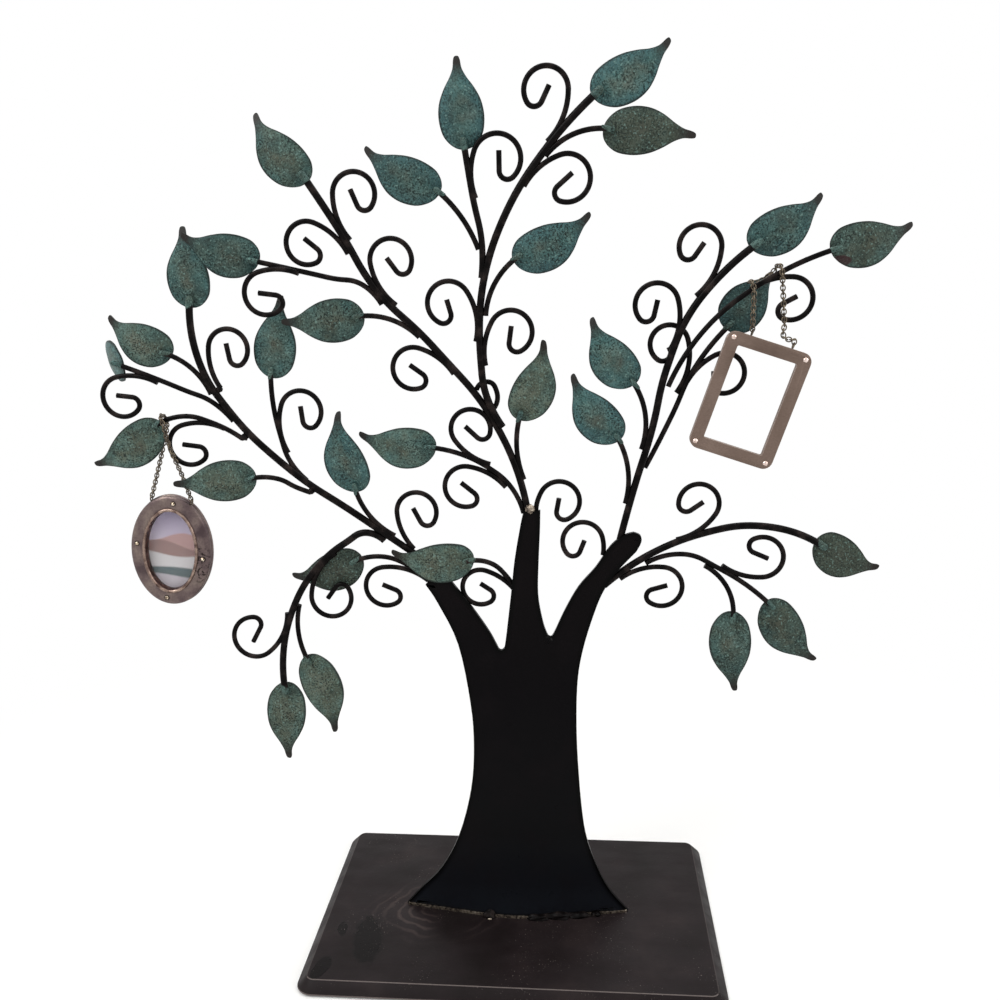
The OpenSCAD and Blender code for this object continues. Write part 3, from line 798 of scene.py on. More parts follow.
def soften(mesh: bmesh.types.BMesh, width: float, segments: int = 2, angle: float = 40.0) -> None:
    """Rounds a mesh's sharp edges, and marks the new faces for wear and a painted highlight.

    Args:
        mesh: The mesh that is changed.
        width: The rounding's width in millimetres.
        segments: How many faces go round the edge.
        angle: Edges sharper than this are rounded, in degrees.
    """
    sharp = [e for e in mesh.edges if len(e.link_faces) == 2 and e.calc_face_angle(0) > math.radians(angle)]
    wear_and_highlight = mesh.faces.layers.float.new("wear_and_highlight")
    made = bmesh.ops.bevel(
        mesh,
        geom=sharp,
        offset=width * MM,
        segments=segments,
        profile=0.5,
        affect="EDGES",
        material=-1,
        clamp_overlap=True,
    )
    for face in made["faces"]:
        face[wear_and_highlight] = 1.0


@dataclass
class Studio:
    """The camera at the photograph's angle, soft lamps, and a plain pale floor."""

    eye: tuple[float, float, float] = (33.2, -477.2, 351.8)
    yaw: float = -4.693
    pitch: float = 13.526
    roll: float = -0.909
    lens: float = 35.46
    floor_size: float = 6000.0

    def camera(self) -> None:
        """Places the camera."""
        yaw, pitch, roll = (math.radians(a) for a in (self.yaw, self.pitch, self.roll))
        ahead = Vector((math.sin(yaw) * math.cos(pitch), math.cos(yaw) * math.cos(pitch), -math.sin(pitch)))
        right = Vector((math.cos(yaw), -math.sin(yaw), 0))
        up = right.cross(ahead)
        side = right * math.cos(roll) + up * math.sin(roll)
        top = -right * math.sin(roll) + up * math.cos(roll)
        data = bpy.data.cameras.new("camera")
        data.lens = self.lens
        data.sensor_width = 36
        data.clip_start = 0.01
        camera = bpy.data.objects.new("camera", data)
        bpy.context.scene.collection.objects.link(camera)
        turn = Matrix((side, top, -ahead)).transposed().to_4x4()
        camera.matrix_world = Matrix.Translation(Vector(self.eye) * MM) @ turn
        bpy.context.scene.camera = camera

    def lamp(self, name: str, place: tuple[float, float, float], size: float, power: float) -> None:
        """Hangs one soft square lamp that faces the tree.

        Args:
            name: The lamp's name.
            place: Where it hangs, in millimetres.
            size: The length of its side in millimetres.
            power: Its power in watts.
        """
        data = bpy.data.lights.new(name, "AREA")
        data.size = size * MM
        data.energy = power
        lamp = bpy.data.objects.new(name, data)
        bpy.context.scene.collection.objects.link(lamp)
        lamp.location = Vector(place) * MM
        aim = Vector((0, 0, 200)) * MM - lamp.location
        lamp.rotation_mode = "QUATERNION"
        lamp.rotation_quaternion = aim.to_track_quat("-Z", "Y")

    def seen(self, tree: bpy.types.NodeTree) -> bpy.types.NodeSocket:
        """Makes the share of white that the camera, gloss and clear sheet see.

        Args:
            tree: The node tree of the world or the floor.

        Returns:
            One for a ray that shows the background.
        """
        path = add_node(tree, "ShaderNodeLightPath")
        both = times(path.outputs["Is Camera Ray"], path.outputs["Is Transmission Ray"], "MAXIMUM")
        return times(both, path.outputs["Is Glossy Ray"], "MAXIMUM")

    def world(self) -> None:
        """Makes a pale surround that is white to the camera and dimmer from the viewer's side."""
        world = bpy.data.worlds.new("studio")
        bpy.context.scene.world = world
        world.use_nodes = True
        tree = world.node_tree
        tree.nodes.clear()
        way = add_node(tree, "ShaderNodeTexCoord").outputs["Generated"]
        parts = add_node(tree, "ShaderNodeSeparateXYZ", links={0: way})
        # the viewer's side is dimmer, as a room behind a camera is
        level = stretch_range(parts.outputs["Y"], -0.7, 0.5, (0.26, 0.62))
        soft = add_node(tree, "ShaderNodeBackground", {"Color": linear("#fbfbfa")}, {"Strength": level})
        white = add_node(tree, "ShaderNodeBackground", {"Color": (1, 1, 1, 1), "Strength": 1.0})
        ends = {0: self.seen(tree), 1: soft.outputs[0], 2: white.outputs[0]}
        both = add_node(tree, "ShaderNodeMixShader", links=ends)
        add_node(tree, "ShaderNodeOutputWorld", links={0: both.outputs[0]})

    def floor(self) -> None:
        """Lays the pale floor, which fades into the white surround away from the object's shadow."""
        material = bpy.data.materials.new("pale_floor")
        material.use_nodes = True
        tree = material.node_tree
        shader = tree.nodes["Principled BSDF"]
        shader.inputs["Base Color"].default_value = linear("#f4f3f1")
        shader.inputs["Roughness"].default_value = 0.9
        shader.inputs["Specular IOR Level"].default_value = 0.1
        glow = add_node(tree, "ShaderNodeEmission", {"Color": (1, 1, 1, 1), "Strength": 1.0})
        place = add_node(tree, "ShaderNodeTexCoord").outputs["Object"]
        away = add_node(tree, "ShaderNodeVectorMath", {"operation": "LENGTH"}, {0: place}).outputs["Value"]
        fade = stretch_range(away, 0.13, 0.5, (0.2, 1.0))
        share = times(self.seen(tree), fade)
        ends = {0: share, 1: shader.outputs[0], 2: glow.outputs[0]}
        both = add_node(tree, "ShaderNodeMixShader", links=ends)
        tree.links.new(both.outputs[0], tree.nodes["Material Output"].inputs["Surface"])
        mesh = bmesh.new()
        bmesh.ops.create_grid(mesh, x_segments=1, y_segments=1, size=self.floor_size * MM / 2)
        data = bpy.data.meshes.new("floor")
        mesh.to_mesh(data)
        mesh.free()
        floor = bpy.data.objects.new("floor", data)
        bpy.context.scene.collection.objects.link(floor)
        dress(floor, material)

    def build(self) -> None:
        """Sets the whole studio up."""
        bpy.context.scene.view_settings.view_transform = "Standard"
        self.camera()
        self.world()
        self.floor()
        self.lamp("key", (-700, -500, 1100), 700, 9.0)
        self.lamp("fill", (900, -300, 700), 900, 5.0)
        self.lamp("top", (100, 300, 1300), 900, 7.0)


@dataclass
class Base:
    """The bevelled plate with softened edges, and its felt."""

    edge: float = 0.7
    # a painted highlight goes on the front edge's rounding, and a weaker one on the others
    front: float = 7.0
    faint_highlight: float = 0.25

    def build(self, nodes: dict[str, bpy.types.Object]) -> None:
        """Makes the plate and dresses the felt.

        Args:
            nodes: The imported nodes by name.
        """
        mesh = merged(nodes["base_board"])
        soften(mesh, self.edge, 3, 30)
        wear_and_highlight = mesh.faces.layers.float["wear_and_highlight"]
        # only the faces near the front keep the full painted highlight
        front = min(v.co.y for v in mesh.verts) + self.front * MM
        for face in mesh.faces:
            if face.calc_center_median().y > front:
                face[wear_and_highlight] *= self.faint_highlight
        seat(mesh, "base_plate", Body.STAND, "base_steel", ("base_board",), BasePlate().build())
        dress(nodes["base_felt"], Felt().build())


def welds(places: tuple[tuple[float, float, float, float], ...]) -> bmesh.types.BMesh:
    """Makes uneven lumps of weld.

    Args:
        places: The place of each lump on the tree's flat view, and its radius.

    Returns:
        One mesh with every lump.
    """
    mesh = bmesh.new()
    for x, y, z, radius in places:
        made = bmesh.ops.create_icosphere(mesh, subdivisions=4, radius=radius * MM)
        for vert in made["verts"]:
            swell = 1 + WELD_SWELL * noise.noise(vert.co * WELD_WAVES + Vector((x, y, z)))
            vert.co = vert.co * swell + on_tree(x, y, z)
    return mesh


@dataclass
class Trunk:
    """The lacquered sheet trunk with rolled edges, its seam of solder and the beads of weld."""

    rolled: float = 3.6
    raised: float = 0.45
    beads: tuple[tuple[float, float, float, float], ...] = (
        (9.4, 226.9, 2.0, 2.4),
        (-46.0, 200.4, -0.6, 2.0),
        (53.5, 208.0, -0.6, 2.0),
        (47.4, 190.0, -0.6, 2.0),
        (-14.0, 0.3, 9.0, 1.7),
    )
    # the place along the foot, half the width and the height of each run of lacquer
    runs: tuple[tuple[float, float, float], ...] = (
        (-14.0, 3.6, 3.4),
        (12.0, 6.5, 2.0),
        (22.0, 8.0, 2.6),
        (33.0, 7.0, 2.0),
        (43.0, 2.6, 2.0),
    )

    def sheet(self, node: bpy.types.Object) -> bmesh.types.BMesh:
        """Rolls the front edges of the trunk's sheet.

        Args:
            node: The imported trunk.

        Returns:
            The trunk's mesh with the attribute rolled on its points.
        """
        mesh = merged(node)
        mesh.normal_update()
        front = [f for f in mesh.faces if f.normal.y < -0.6]
        bmesh.ops.triangulate(mesh, faces=front)
        front = [f for f in mesh.faces if f.normal.y < -0.6]
        bmesh.ops.inset_region(
            mesh,
            faces=front,
            thickness=self.rolled * MM,
            depth=self.raised * MM,
            use_even_offset=True,
            use_boundary=True,
        )
        # this attribute marks the rolled edge strip, where the sheet's material paints a dark reflection
        layer = mesh.verts.layers.float.new("rolled")
        inner = {v for f in front for v in f.verts}
        for vert in mesh.verts:
            vert[layer] = 0.0 if vert in inner else 1.0
        return mesh

    def build(self, nodes: dict[str, bpy.types.Object]) -> None:
        """Makes the trunk, its seam and its beads.

        Args:
            nodes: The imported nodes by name.
        """
        sheet = self.sheet(nodes["trunk"])
        seat(sheet, "trunk_sheet", Body.STAND, "black_steel", ("trunk",), TrunkSheet().build(), 30)
        solder = Solder().build()
        seat(welds(self.beads), "weld_lumps", Body.STAND, "solder", ("weld_beads",), solder, 60)
        dress(nodes["foot_seam"], solder)
        self.drops([v.co for v in nodes["foot_seam"].data.vertices])

    def drops(self, seam: list[Vector]) -> None:
        """Lets drops of black lacquer run over the foot's seam.

        Args:
            seam: The points of the seam.
        """
        mesh = bmesh.new()
        for x, wide, high in self.runs:
            front = min((p for p in seam if abs(p.x - x * MM) < 1.5 * MM), key=lambda p: p.y)
            made = bmesh.ops.create_icosphere(mesh, subdivisions=4, radius=1)
            for vert in made["verts"]:
                swell = 1 + 0.3 * noise.noise(vert.co * 1.6 + Vector((x, 0, 0)))
                near = Vector((vert.co.x * wide, vert.co.y * 2.6, max(vert.co.z, -0.3) * high)) * swell * MM
                vert.co = Vector((x * MM, front.y, BASE_TOP * MM)) + near + Vector((0, 0.3, 0.45)) * MM
        seat(mesh, "lacquer_runs", Body.STAND, "black_steel", (), BlackWire().build(), 60)


@dataclass(frozen=True)
class Leaf:
    """One leaf: its base and tip on the tree's flat view, its wire's end and heading, and how it lies."""

    base: tuple[float, float]
    tip: tuple[float, float]
    end: tuple[float, float, float]
    curl: float = 0.0
    tilt: float = 0.0
    z: float = 0.0
    wire: float = 1.25
    long: float = 0.0
    roll: float = 0.0
    seat: float = 4.0
    olive: float = 0.3
    deep: float = 0.1


@dataclass
class Foliage:
    """The dished sheet leaves with the patinated wire ends that they are welded to, node by node."""

    width: float = 21.0
    thick: float = 0.8
    dish: float = 55.0
    bow: float = 0.18
    lanes: int = 12
    fine: int = 4
    stub: float = 5.4
    form: tuple[tuple[float, float], ...] = (
        (0, 0.1),
        (0.02, 0.36),
        (0.08, 0.66),
        (0.18, 0.9),
        (0.34, 1),
        (0.5, 0.92),
        (0.64, 0.68),
        (0.76, 0.38),
        (0.86, 0.2),
        (0.95, 0.15),
        (0.99, 0.1),
        (1, 0.03),
    )
    leaves: dict[str, tuple[Leaf, ...]] = field(
        default_factory=lambda: {
            "leaves_left": (
                Leaf((-154.7, 326.4), (-157.5, 365), (-155.2, 330.5, 82), wire=1.75, olive=0.3, deep=0.2),
                Leaf((-168, 303), (-198.6, 322.8), (-172.2, 305.2, 167), -1, olive=0.6, deep=0.05),
                Leaf(
                    (-193, 298.6),
                    (-203, 300.4),
                    (-196.9, 300.2, 161),
                    tilt=-52,
                    long=36,
                    roll=-18,
                    seat=1.5,
                    olive=0.2,
                    deep=0.1,
                ),
                Leaf((-117.5, 291.8), (-112, 332), (-117.8, 296.3, 85), 0, -3, -1.4, olive=0.3, deep=0.15),
                Leaf((-176, 268.5), (-213.6, 248.6), (-179.3, 268.2, -145), -1, 2, olive=0.7, deep=0),
                Leaf((-129, 241.5), (-170, 240), (-133.5, 241.2, -162), 0, 14, 0.8, olive=0.7, deep=0.05),
                Leaf((-77.3, 234.5), (-85.9, 275), (-78.7, 238.2, 102), -1, olive=0.2, deep=0.15),
            ),
            "leaves_droop": (
                Leaf((-121.4, 130), (-122.9, 85.9), (-121.5, 126, -84), 0, 3, wire=1.75, olive=0.8, deep=0.2),
                Leaf((-108.6, 145.5), (-97.7, 100), (-108, 142, -63), -1, 0, -1.6, olive=0.8, deep=0.1),
                Leaf(
                    (-77.3, 198.2), (-116.4, 188.2), (-82.6, 197.3, -152), -1, -4, -1.6, olive=0.9, deep=0.55
                ),
            ),
            "leaves_centre": (
                Leaf((-95, 383.5), (-118, 415), (-96, 387, 124), -1, wire=1.75, olive=0.5, deep=0.15),
                Leaf((-120, 348), (-156, 361), (-124.4, 348.7, 167), -1, 9, olive=0.3, deep=0.4),
                Leaf((-70, 320.7), (-110, 319.5), (-74.5, 321.2, -170), -0.3, 9, olive=0.5, deep=0.3),
                Leaf((-37.3, 256.4), (-75.9, 264.1), (-41.6, 257.7, 177), -1, 0, 0.4, olive=0.5, deep=0.05),
                Leaf((4.5, 270.5), (16.2, 309.1), (5.1, 274.5, 73), 1, olive=0.8, deep=0),
            ),
            "leaves_top": (
                Leaf((-19.5, 396.4), (-22.7, 436.8), (-19.8, 400, 98), 0, 0, 1.2, 1.5, olive=0.1, deep=0.2),
                Leaf((-31.8, 377.3), (-66.4, 398.6), (-33, 378.8, 141), -1, 0, 1.2, olive=0.1, deep=0.35),
                Leaf((39, 417.5), (73.1, 441.1), (42, 420, 40), 1, 0, 1.2, 1.75, olive=0.1, deep=0.05),
                Leaf((43.6, 402.7), (85.6, 400), (47.7, 403.1, -11), -0.3, 0, 1.2, olive=0.9, deep=0.65),
                Leaf((2.7, 345.5), (38.2, 367.3), (5.7, 348.8, 32), 1, 0, 1.2, olive=0.0, deep=0.2),
            ),
            "leaves_right": (
                Leaf((58.8, 287), (39.1, 319.5), (58.5, 289.7, 126), -1, olive=0.2, deep=0.05),
                Leaf((52.3, 260), (30, 292.7), (51.3, 263.4, 121), -1, olive=0.1, deep=0.15),
                Leaf((111.5, 351), (143.2, 373.8), (115.5, 353, 35), 1, wire=1.75, olive=0.2, deep=0.35),
                Leaf((148, 349), (184.1, 360), (151.8, 349.9, 16), 1, olive=0.6, deep=0.5),
                Leaf((102, 314), (125, 340), (104.7, 316.6, 44), 0, -12, -2, olive=0.1, deep=0.5),
            ),
            "leaves_low": (
                Leaf((149, 209), (181, 196.7), (153, 208, -34), 1, wire=1.75, olive=1, deep=0.7),
                Leaf((109.3, 173), (113.9, 129.2), (110.3, 168.8, -98), 0.5, olive=0.5, deep=0.42),
                Leaf((127, 178.5), (153.3, 147.2), (130, 176.4, -46), 1, olive=0.6, deep=0.52),
            ),
            "leaf_limb": (
                Leaf((-19, 200), (-60.5, 205), (-23.3, 200.7, -167), -1, 4, 5.4, olive=0.8, deep=0),
            ),
        }
    )

    def rows(self) -> list[tuple[float, float]]:
        """Runs a smooth line through the marks of the leaf's form.

        Returns:
            Shares of the leaf's length, with half its width there as a share of the greatest.
        """
        marks = [self.form[0], *self.form, self.form[-1]]
        found = []
        for a, b, c, d in zip(marks, marks[1:], marks[2:], marks[3:]):
            for k in range(self.fine):
                t = k / self.fine
                bends = (
                    (r - p, 2 * p - 5 * q + 4 * r - s, 3 * q - p - 3 * r + s)
                    for p, q, r, s in zip(a, b, c, d)
                )
                found.append(tuple(q + (u * t + v * t**2 + w * t**3) / 2 for q, (u, v, w) in zip(b, bends)))
        return [*found, self.form[-1]]

    def blade(self, leaf: Leaf, seed: int) -> bmesh.types.BMesh:
        """Makes one leaf.

        Args:
            leaf: The leaf's place and form.
            seed: The leaf's number, for its small unevenness.

        Returns:
            The leaf's mesh in the row frame, with the attributes along, rim, olive and deep.
        """
        across = Vector(leaf.tip) - Vector(leaf.base)
        length = leaf.long or across.length
        middle = length * 0.45
        sink = math.sqrt(self.dish**2 - (middle - 4) ** 2)
        rows = self.rows()
        mesh = bmesh.new()
        bmesh.ops.create_grid(mesh, x_segments=len(rows) - 1, y_segments=self.lanes, size=0.5)
        names = ("along", "rim", "olive", "deep")
        along, rim, olive, deep = (mesh.verts.layers.float.new(name) for name in names)
        for vert in mesh.verts:
            share, half = rows[round((vert.co.x + 0.5) * (len(rows) - 1))]
            side = math.sin(math.pi * vert.co.y)
            x = length * share
            y = leaf.curl * length * self.bow * (share**3 - share) + side * half * self.width / 2
            z = math.sqrt(max(0.0, self.dish**2 - (x - middle) ** 2 - y**2)) - sink
            z += 0.3 * noise.noise(Vector((x / 9, y / 7, seed * 3.7)))
            z -= 0.35 * abs(side) ** 5 * math.sin(math.pi * min(1.0, share * 1.1))
            vert.co = Vector((x, y, z - self.thick / 2))
            vert[along] = share
            vert[rim] = max(abs(side), 1 - share / 0.02 * 0.1)
            vert[olive], vert[deep] = leaf.olive, leaf.deep
        bmesh.ops.solidify(mesh, geom=mesh.faces, thickness=self.thick)
        bmesh.ops.recalc_face_normals(mesh, faces=mesh.faces)
        pivot = Vector((leaf.seat, 0, 0))
        lean = (
            Matrix.Translation(pivot)
            @ Matrix.Rotation(math.radians(-leaf.tilt), 4, "Y")
            @ Matrix.Rotation(math.radians(leaf.roll), 4, "X")
            @ Matrix.Translation(-pivot)
        )
        turn = Matrix.Rotation(math.atan2(across.y, across.x), 4, "Z")
        front = leaf.z - leaf.wire + 0.2
        place = Matrix.Translation((leaf.base[0], leaf.base[1], front)) @ turn @ lean
        self.wire_end(mesh, leaf, place.inverted())
        for vert in mesh.verts:
            point = place @ vert.co
            vert.co = on_tree(point.x, point.y, point.z)
        bmesh.ops.recalc_face_normals(mesh, faces=mesh.faces)
        return mesh

    def wire_end(self, mesh: bmesh.types.BMesh, leaf: Leaf, back: Matrix) -> None:
        """Adds the wire's rounded end on the leaf, which took the patina with it.

        Args:
            mesh: The leaf's mesh, in its own place.
            leaf: The leaf.
            back: The way from the tree's flat view to the leaf's own place.
        """
        old = set(mesh.verts)
        bmesh.ops.create_uvsphere(mesh, u_segments=16, v_segments=12, radius=leaf.wire + 0.1)
        new = [v for v in mesh.verts if v not in old]
        bmesh.ops.rotate(mesh, verts=new, cent=(0, 0, 0), matrix=Matrix.Rotation(math.pi / 2, 3, "Y"))
        for vert in new:
            if vert.co.x < -1e-6:
                vert.co.x -= self.stub - leaf.wire
        x, y, way = leaf.end
        place = Matrix.Translation((x, y, leaf.z)) @ Matrix.Rotation(math.radians(way), 4, "Z")
        bmesh.ops.transform(mesh, verts=new, matrix=back @ place)
        along, rim, olive = (mesh.verts.layers.float[name] for name in ("along", "rim", "olive"))
        for vert in new:
            vert[along], vert[rim], vert[olive] = 0.5, 0.9, 0.5

    def build(self) -> None:
        """Makes every node's leaves as one piece."""
        material = Verdigris().build()
        seed = 0
        for node, leaves in self.leaves.items():
            whole = bmesh.new()
            for leaf in leaves:
                seed += 1
                blade = self.blade(leaf, seed)
                data = bpy.data.meshes.new("blade")
                blade.to_mesh(data)
                blade.free()
                whole.from_mesh(data)
                bpy.data.meshes.remove(data)
            seat(whole, f"{node}_sheets", Body.STAND, "leaf_patina", (node,), material, 50)


@dataclass
class Chain:
    """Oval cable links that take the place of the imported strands' round rings, link by link."""

    radius: float = 1.25
    wire: float = 0.3
    longer: float = 1.16
    narrower: float = 0.84
    around: int = 20
    ring: int = 8
    eye_gap: float = 0.9
    rect_lug: tuple[float, float, float] = (113.3, 312.3, 3.4)
    rect_lug_across: float = 10.0
    rect_lug_up: float = 30.2
    # where the two strands leave the branch
    rect_tops: tuple[tuple[float, float, float], ...] = ((113.3, 330.5, 3.4), (125.8, 336.8, 3.4))
    wrap: tuple[tuple[float, float, float], ...] = (
        (113.2, 332.4, 3.4),
        (112.6, 334.4, 2.7),
        (112, 335.6, 1),
        (111.7, 335.7, -0.9),
        (112, 335, -2.5),
        (113.4, 334.4, -3.6),
        (116, 334.8, -3.7),
        (119, 336.4, -3.6),
        (121.8, 338.4, -3.5),
        (123.4, 340.4, -2.9),
        (124.1, 342.1, -1.4),
        (124.4, 342.9, 0.4),
        (124.9, 342.2, 2.2),
        (125.5, 340.4, 3.3),
    )
    # the slack strand's way to its eyelet: across and up from the frame's middle
    slack: tuple[tuple[float, float], ...] = (
        (3, 37.2),
        (3.2, 34.7),
        (4, 32.8),
        (5.5, 32),
        (8, 32.4),
        (9.5, 32.9),
        (10, 31.1),
    )
    oval_lug: tuple[float, float] = (10.3, 27.5)
    twig: tuple[float, float, float] = (-173.4, 271.2, 0)
    twig_turn: float = 24.0
    twig_reach: float = 3.15
    behind_leaf: tuple[tuple[float, float, float], ...] = (
        (-178.4, 253.5, -4.2),
        (-177.2, 258.5, -4.7),
        (-175.9, 262.6, -5.2),
        (-174.9, 265.9, -5.1),
        (-174.2, 268.5, -4.2),
    )
    before_scroll: tuple[tuple[float, float, float], ...] = (
        (-171.6, 262, 3.4),
        (-169.6, 255, 3.5),
        (-167.6, 249.3, 3.1),
        (-166.2, 244.5, 2.3),
    )

    def on_rect(self, across: float, up: float) -> Vector:
        """Finds a place on the tilted rectangular frame.

        Args:
            across: The distance to the right of the frame's middle.
            up: The distance above the frame's middle.

        Returns:
            The place on the tree's flat view.
        """
        tilt = Matrix.Rotation(-math.atan2(self.rect_lug_across, self.rect_lug_up), 3, "Z")
        away = Vector((across + self.rect_lug_across, up - self.rect_lug_up, 0))
        return Vector(self.rect_lug) + tilt @ away

    def on_oval(self, across: float, up: float) -> Vector:
        """Finds a place on the oval frame.

        Args:
            across: The distance to the right of the frame's middle.
            up: The distance above the frame's middle.

        Returns:
            The place on the tree's flat view.
        """
        turn = Matrix.Rotation(math.radians(OVAL_TURN), 3, "Z")
        return Vector(OVAL_MIDDLE) + turn @ Vector((across, up, 0))

    def over_twig(self, angle: float) -> Vector:
        """Finds a place on the chain's way over its twig.

        Args:
            angle: How far round the twig the place lies, from above it, in degrees.

        Returns:
            The place on the tree's flat view.
        """
        turn, away = math.radians(self.twig_turn), math.radians(angle)
        up = Vector((-math.sin(turn), math.cos(turn), 0))
        reach = Vector((0, 0, math.sin(away))) + up * math.cos(away)
        return Vector(self.twig) + reach * self.twig_reach

    def thread(self, mesh: bmesh.types.BMesh, route: list[Vector], first: int = 0) -> None:
        """Threads links one through the next along a route.

        Args:
            mesh: The mesh that gets the links.
            route: The strand's points on the tree's flat view.
            first: One where the first link faces the other way.
        """
        steps = [(q - p).length for p, q in zip(route, route[1:])]
        pitch = (3 * self.radius - self.wire) / 2
        count = 2 * math.floor((sum(steps) / pitch - 1) / 2 + 0.5) + 1
        marks = []
        for number in range(count + 1):
            left, step = sum(steps) * number / count, 0
            while left > steps[step] and step < len(steps) - 1:
                left -= steps[step]
                step += 1
            marks.append(route[step].lerp(route[step + 1], left / steps[step]))
        for number, (p, q) in enumerate(zip(marks, marks[1:])):
            pull = (q - p).normalized()
            side = Vector((pull.y, -pull.x, 0)).normalized()
            flat = side if (number + first) % 2 else side.cross(pull)
            self.link(mesh, (p + q) / 2, pull, flat)

    def link(self, mesh: bmesh.types.BMesh, middle: Vector, pull: Vector, flat: Vector) -> None:
        """Adds one oval link.

        Args:
            mesh: The mesh that gets the link.
            middle: The link's middle on the tree's flat view.
            pull: The way that the strand runs.
            flat: The link's own axis, square to its plane.
        """
        side = flat.cross(pull)
        made = bmesh.ops.create_circle(mesh, segments=self.ring, radius=self.wire)
        turn = Matrix.Translation((self.radius, 0, 0)) @ Matrix.Rotation(math.pi / 2, 4, "X")
        bmesh.ops.transform(mesh, verts=made["verts"], matrix=turn)
        edges = {e for v in made["verts"] for e in v.link_edges}
        bmesh.ops.spin(
            mesh,
            geom=[*made["verts"], *edges],
            cent=(0, 0, 0),
            axis=(0, 0, 1),
            angle=2 * math.pi,
            steps=self.around,
            use_merge=True,
        )
        for vert in (v for v in mesh.verts if not v.tag):
            core = Vector((vert.co.x, vert.co.y, 0)).normalized() * self.radius
            local = Vector((core.x * self.longer, core.y * self.narrower, 0)) + (vert.co - core)
            point = middle + pull * local.x + side * local.y + flat * local.z
            vert.co = on_tree(point.x, point.y, point.z)
            vert.tag = True

    def build(self, nodes: dict[str, bpy.types.Object]) -> None:
        """Makes the three strands and dresses the eyelets.

        Args:
            nodes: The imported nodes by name.
        """
        brass = CHAIN_METAL.build()
        taut, slack = (Vector(v) for v in self.rect_tops)
        eye = Vector(self.rect_lug) + Vector((0, self.eye_gap, 0))
        over = [self.over_twig(a) for a in range(-100, 101, 10)]
        left, right = (self.on_oval(s * self.oval_lug[0], self.oval_lug[1]) for s in (-1, 1))
        behind, before = ([Vector(v) for v in way] for way in (self.behind_leaf, self.before_scroll))
        strands = (
            ("rect_wrap", Body.STAND, [([taut, *(Vector(v) for v in self.wrap), slack], 1)]),
            (
                "rect_chain",
                Body.RECT_CHAIN,
                [([taut, eye], 0), ([slack, *(self.on_rect(*v) for v in self.slack)], 0)],
            ),
            ("oval_chain", Body.OVAL_CHAIN, [([left, *behind, *over, *before, right], 0)]),
        )
        for node, body, routes in strands:
            mesh = bmesh.new()
            for route, first in routes:
                self.thread(mesh, route, first)
            bmesh.ops.recalc_face_normals(mesh, faces=mesh.faces)
            seat(mesh, f"{node}_links", body, "chain_metal", (node,), brass, 80)
        for name in ("rect_eyelets", "oval_eyelets"):
            dress(nodes[name], brass)


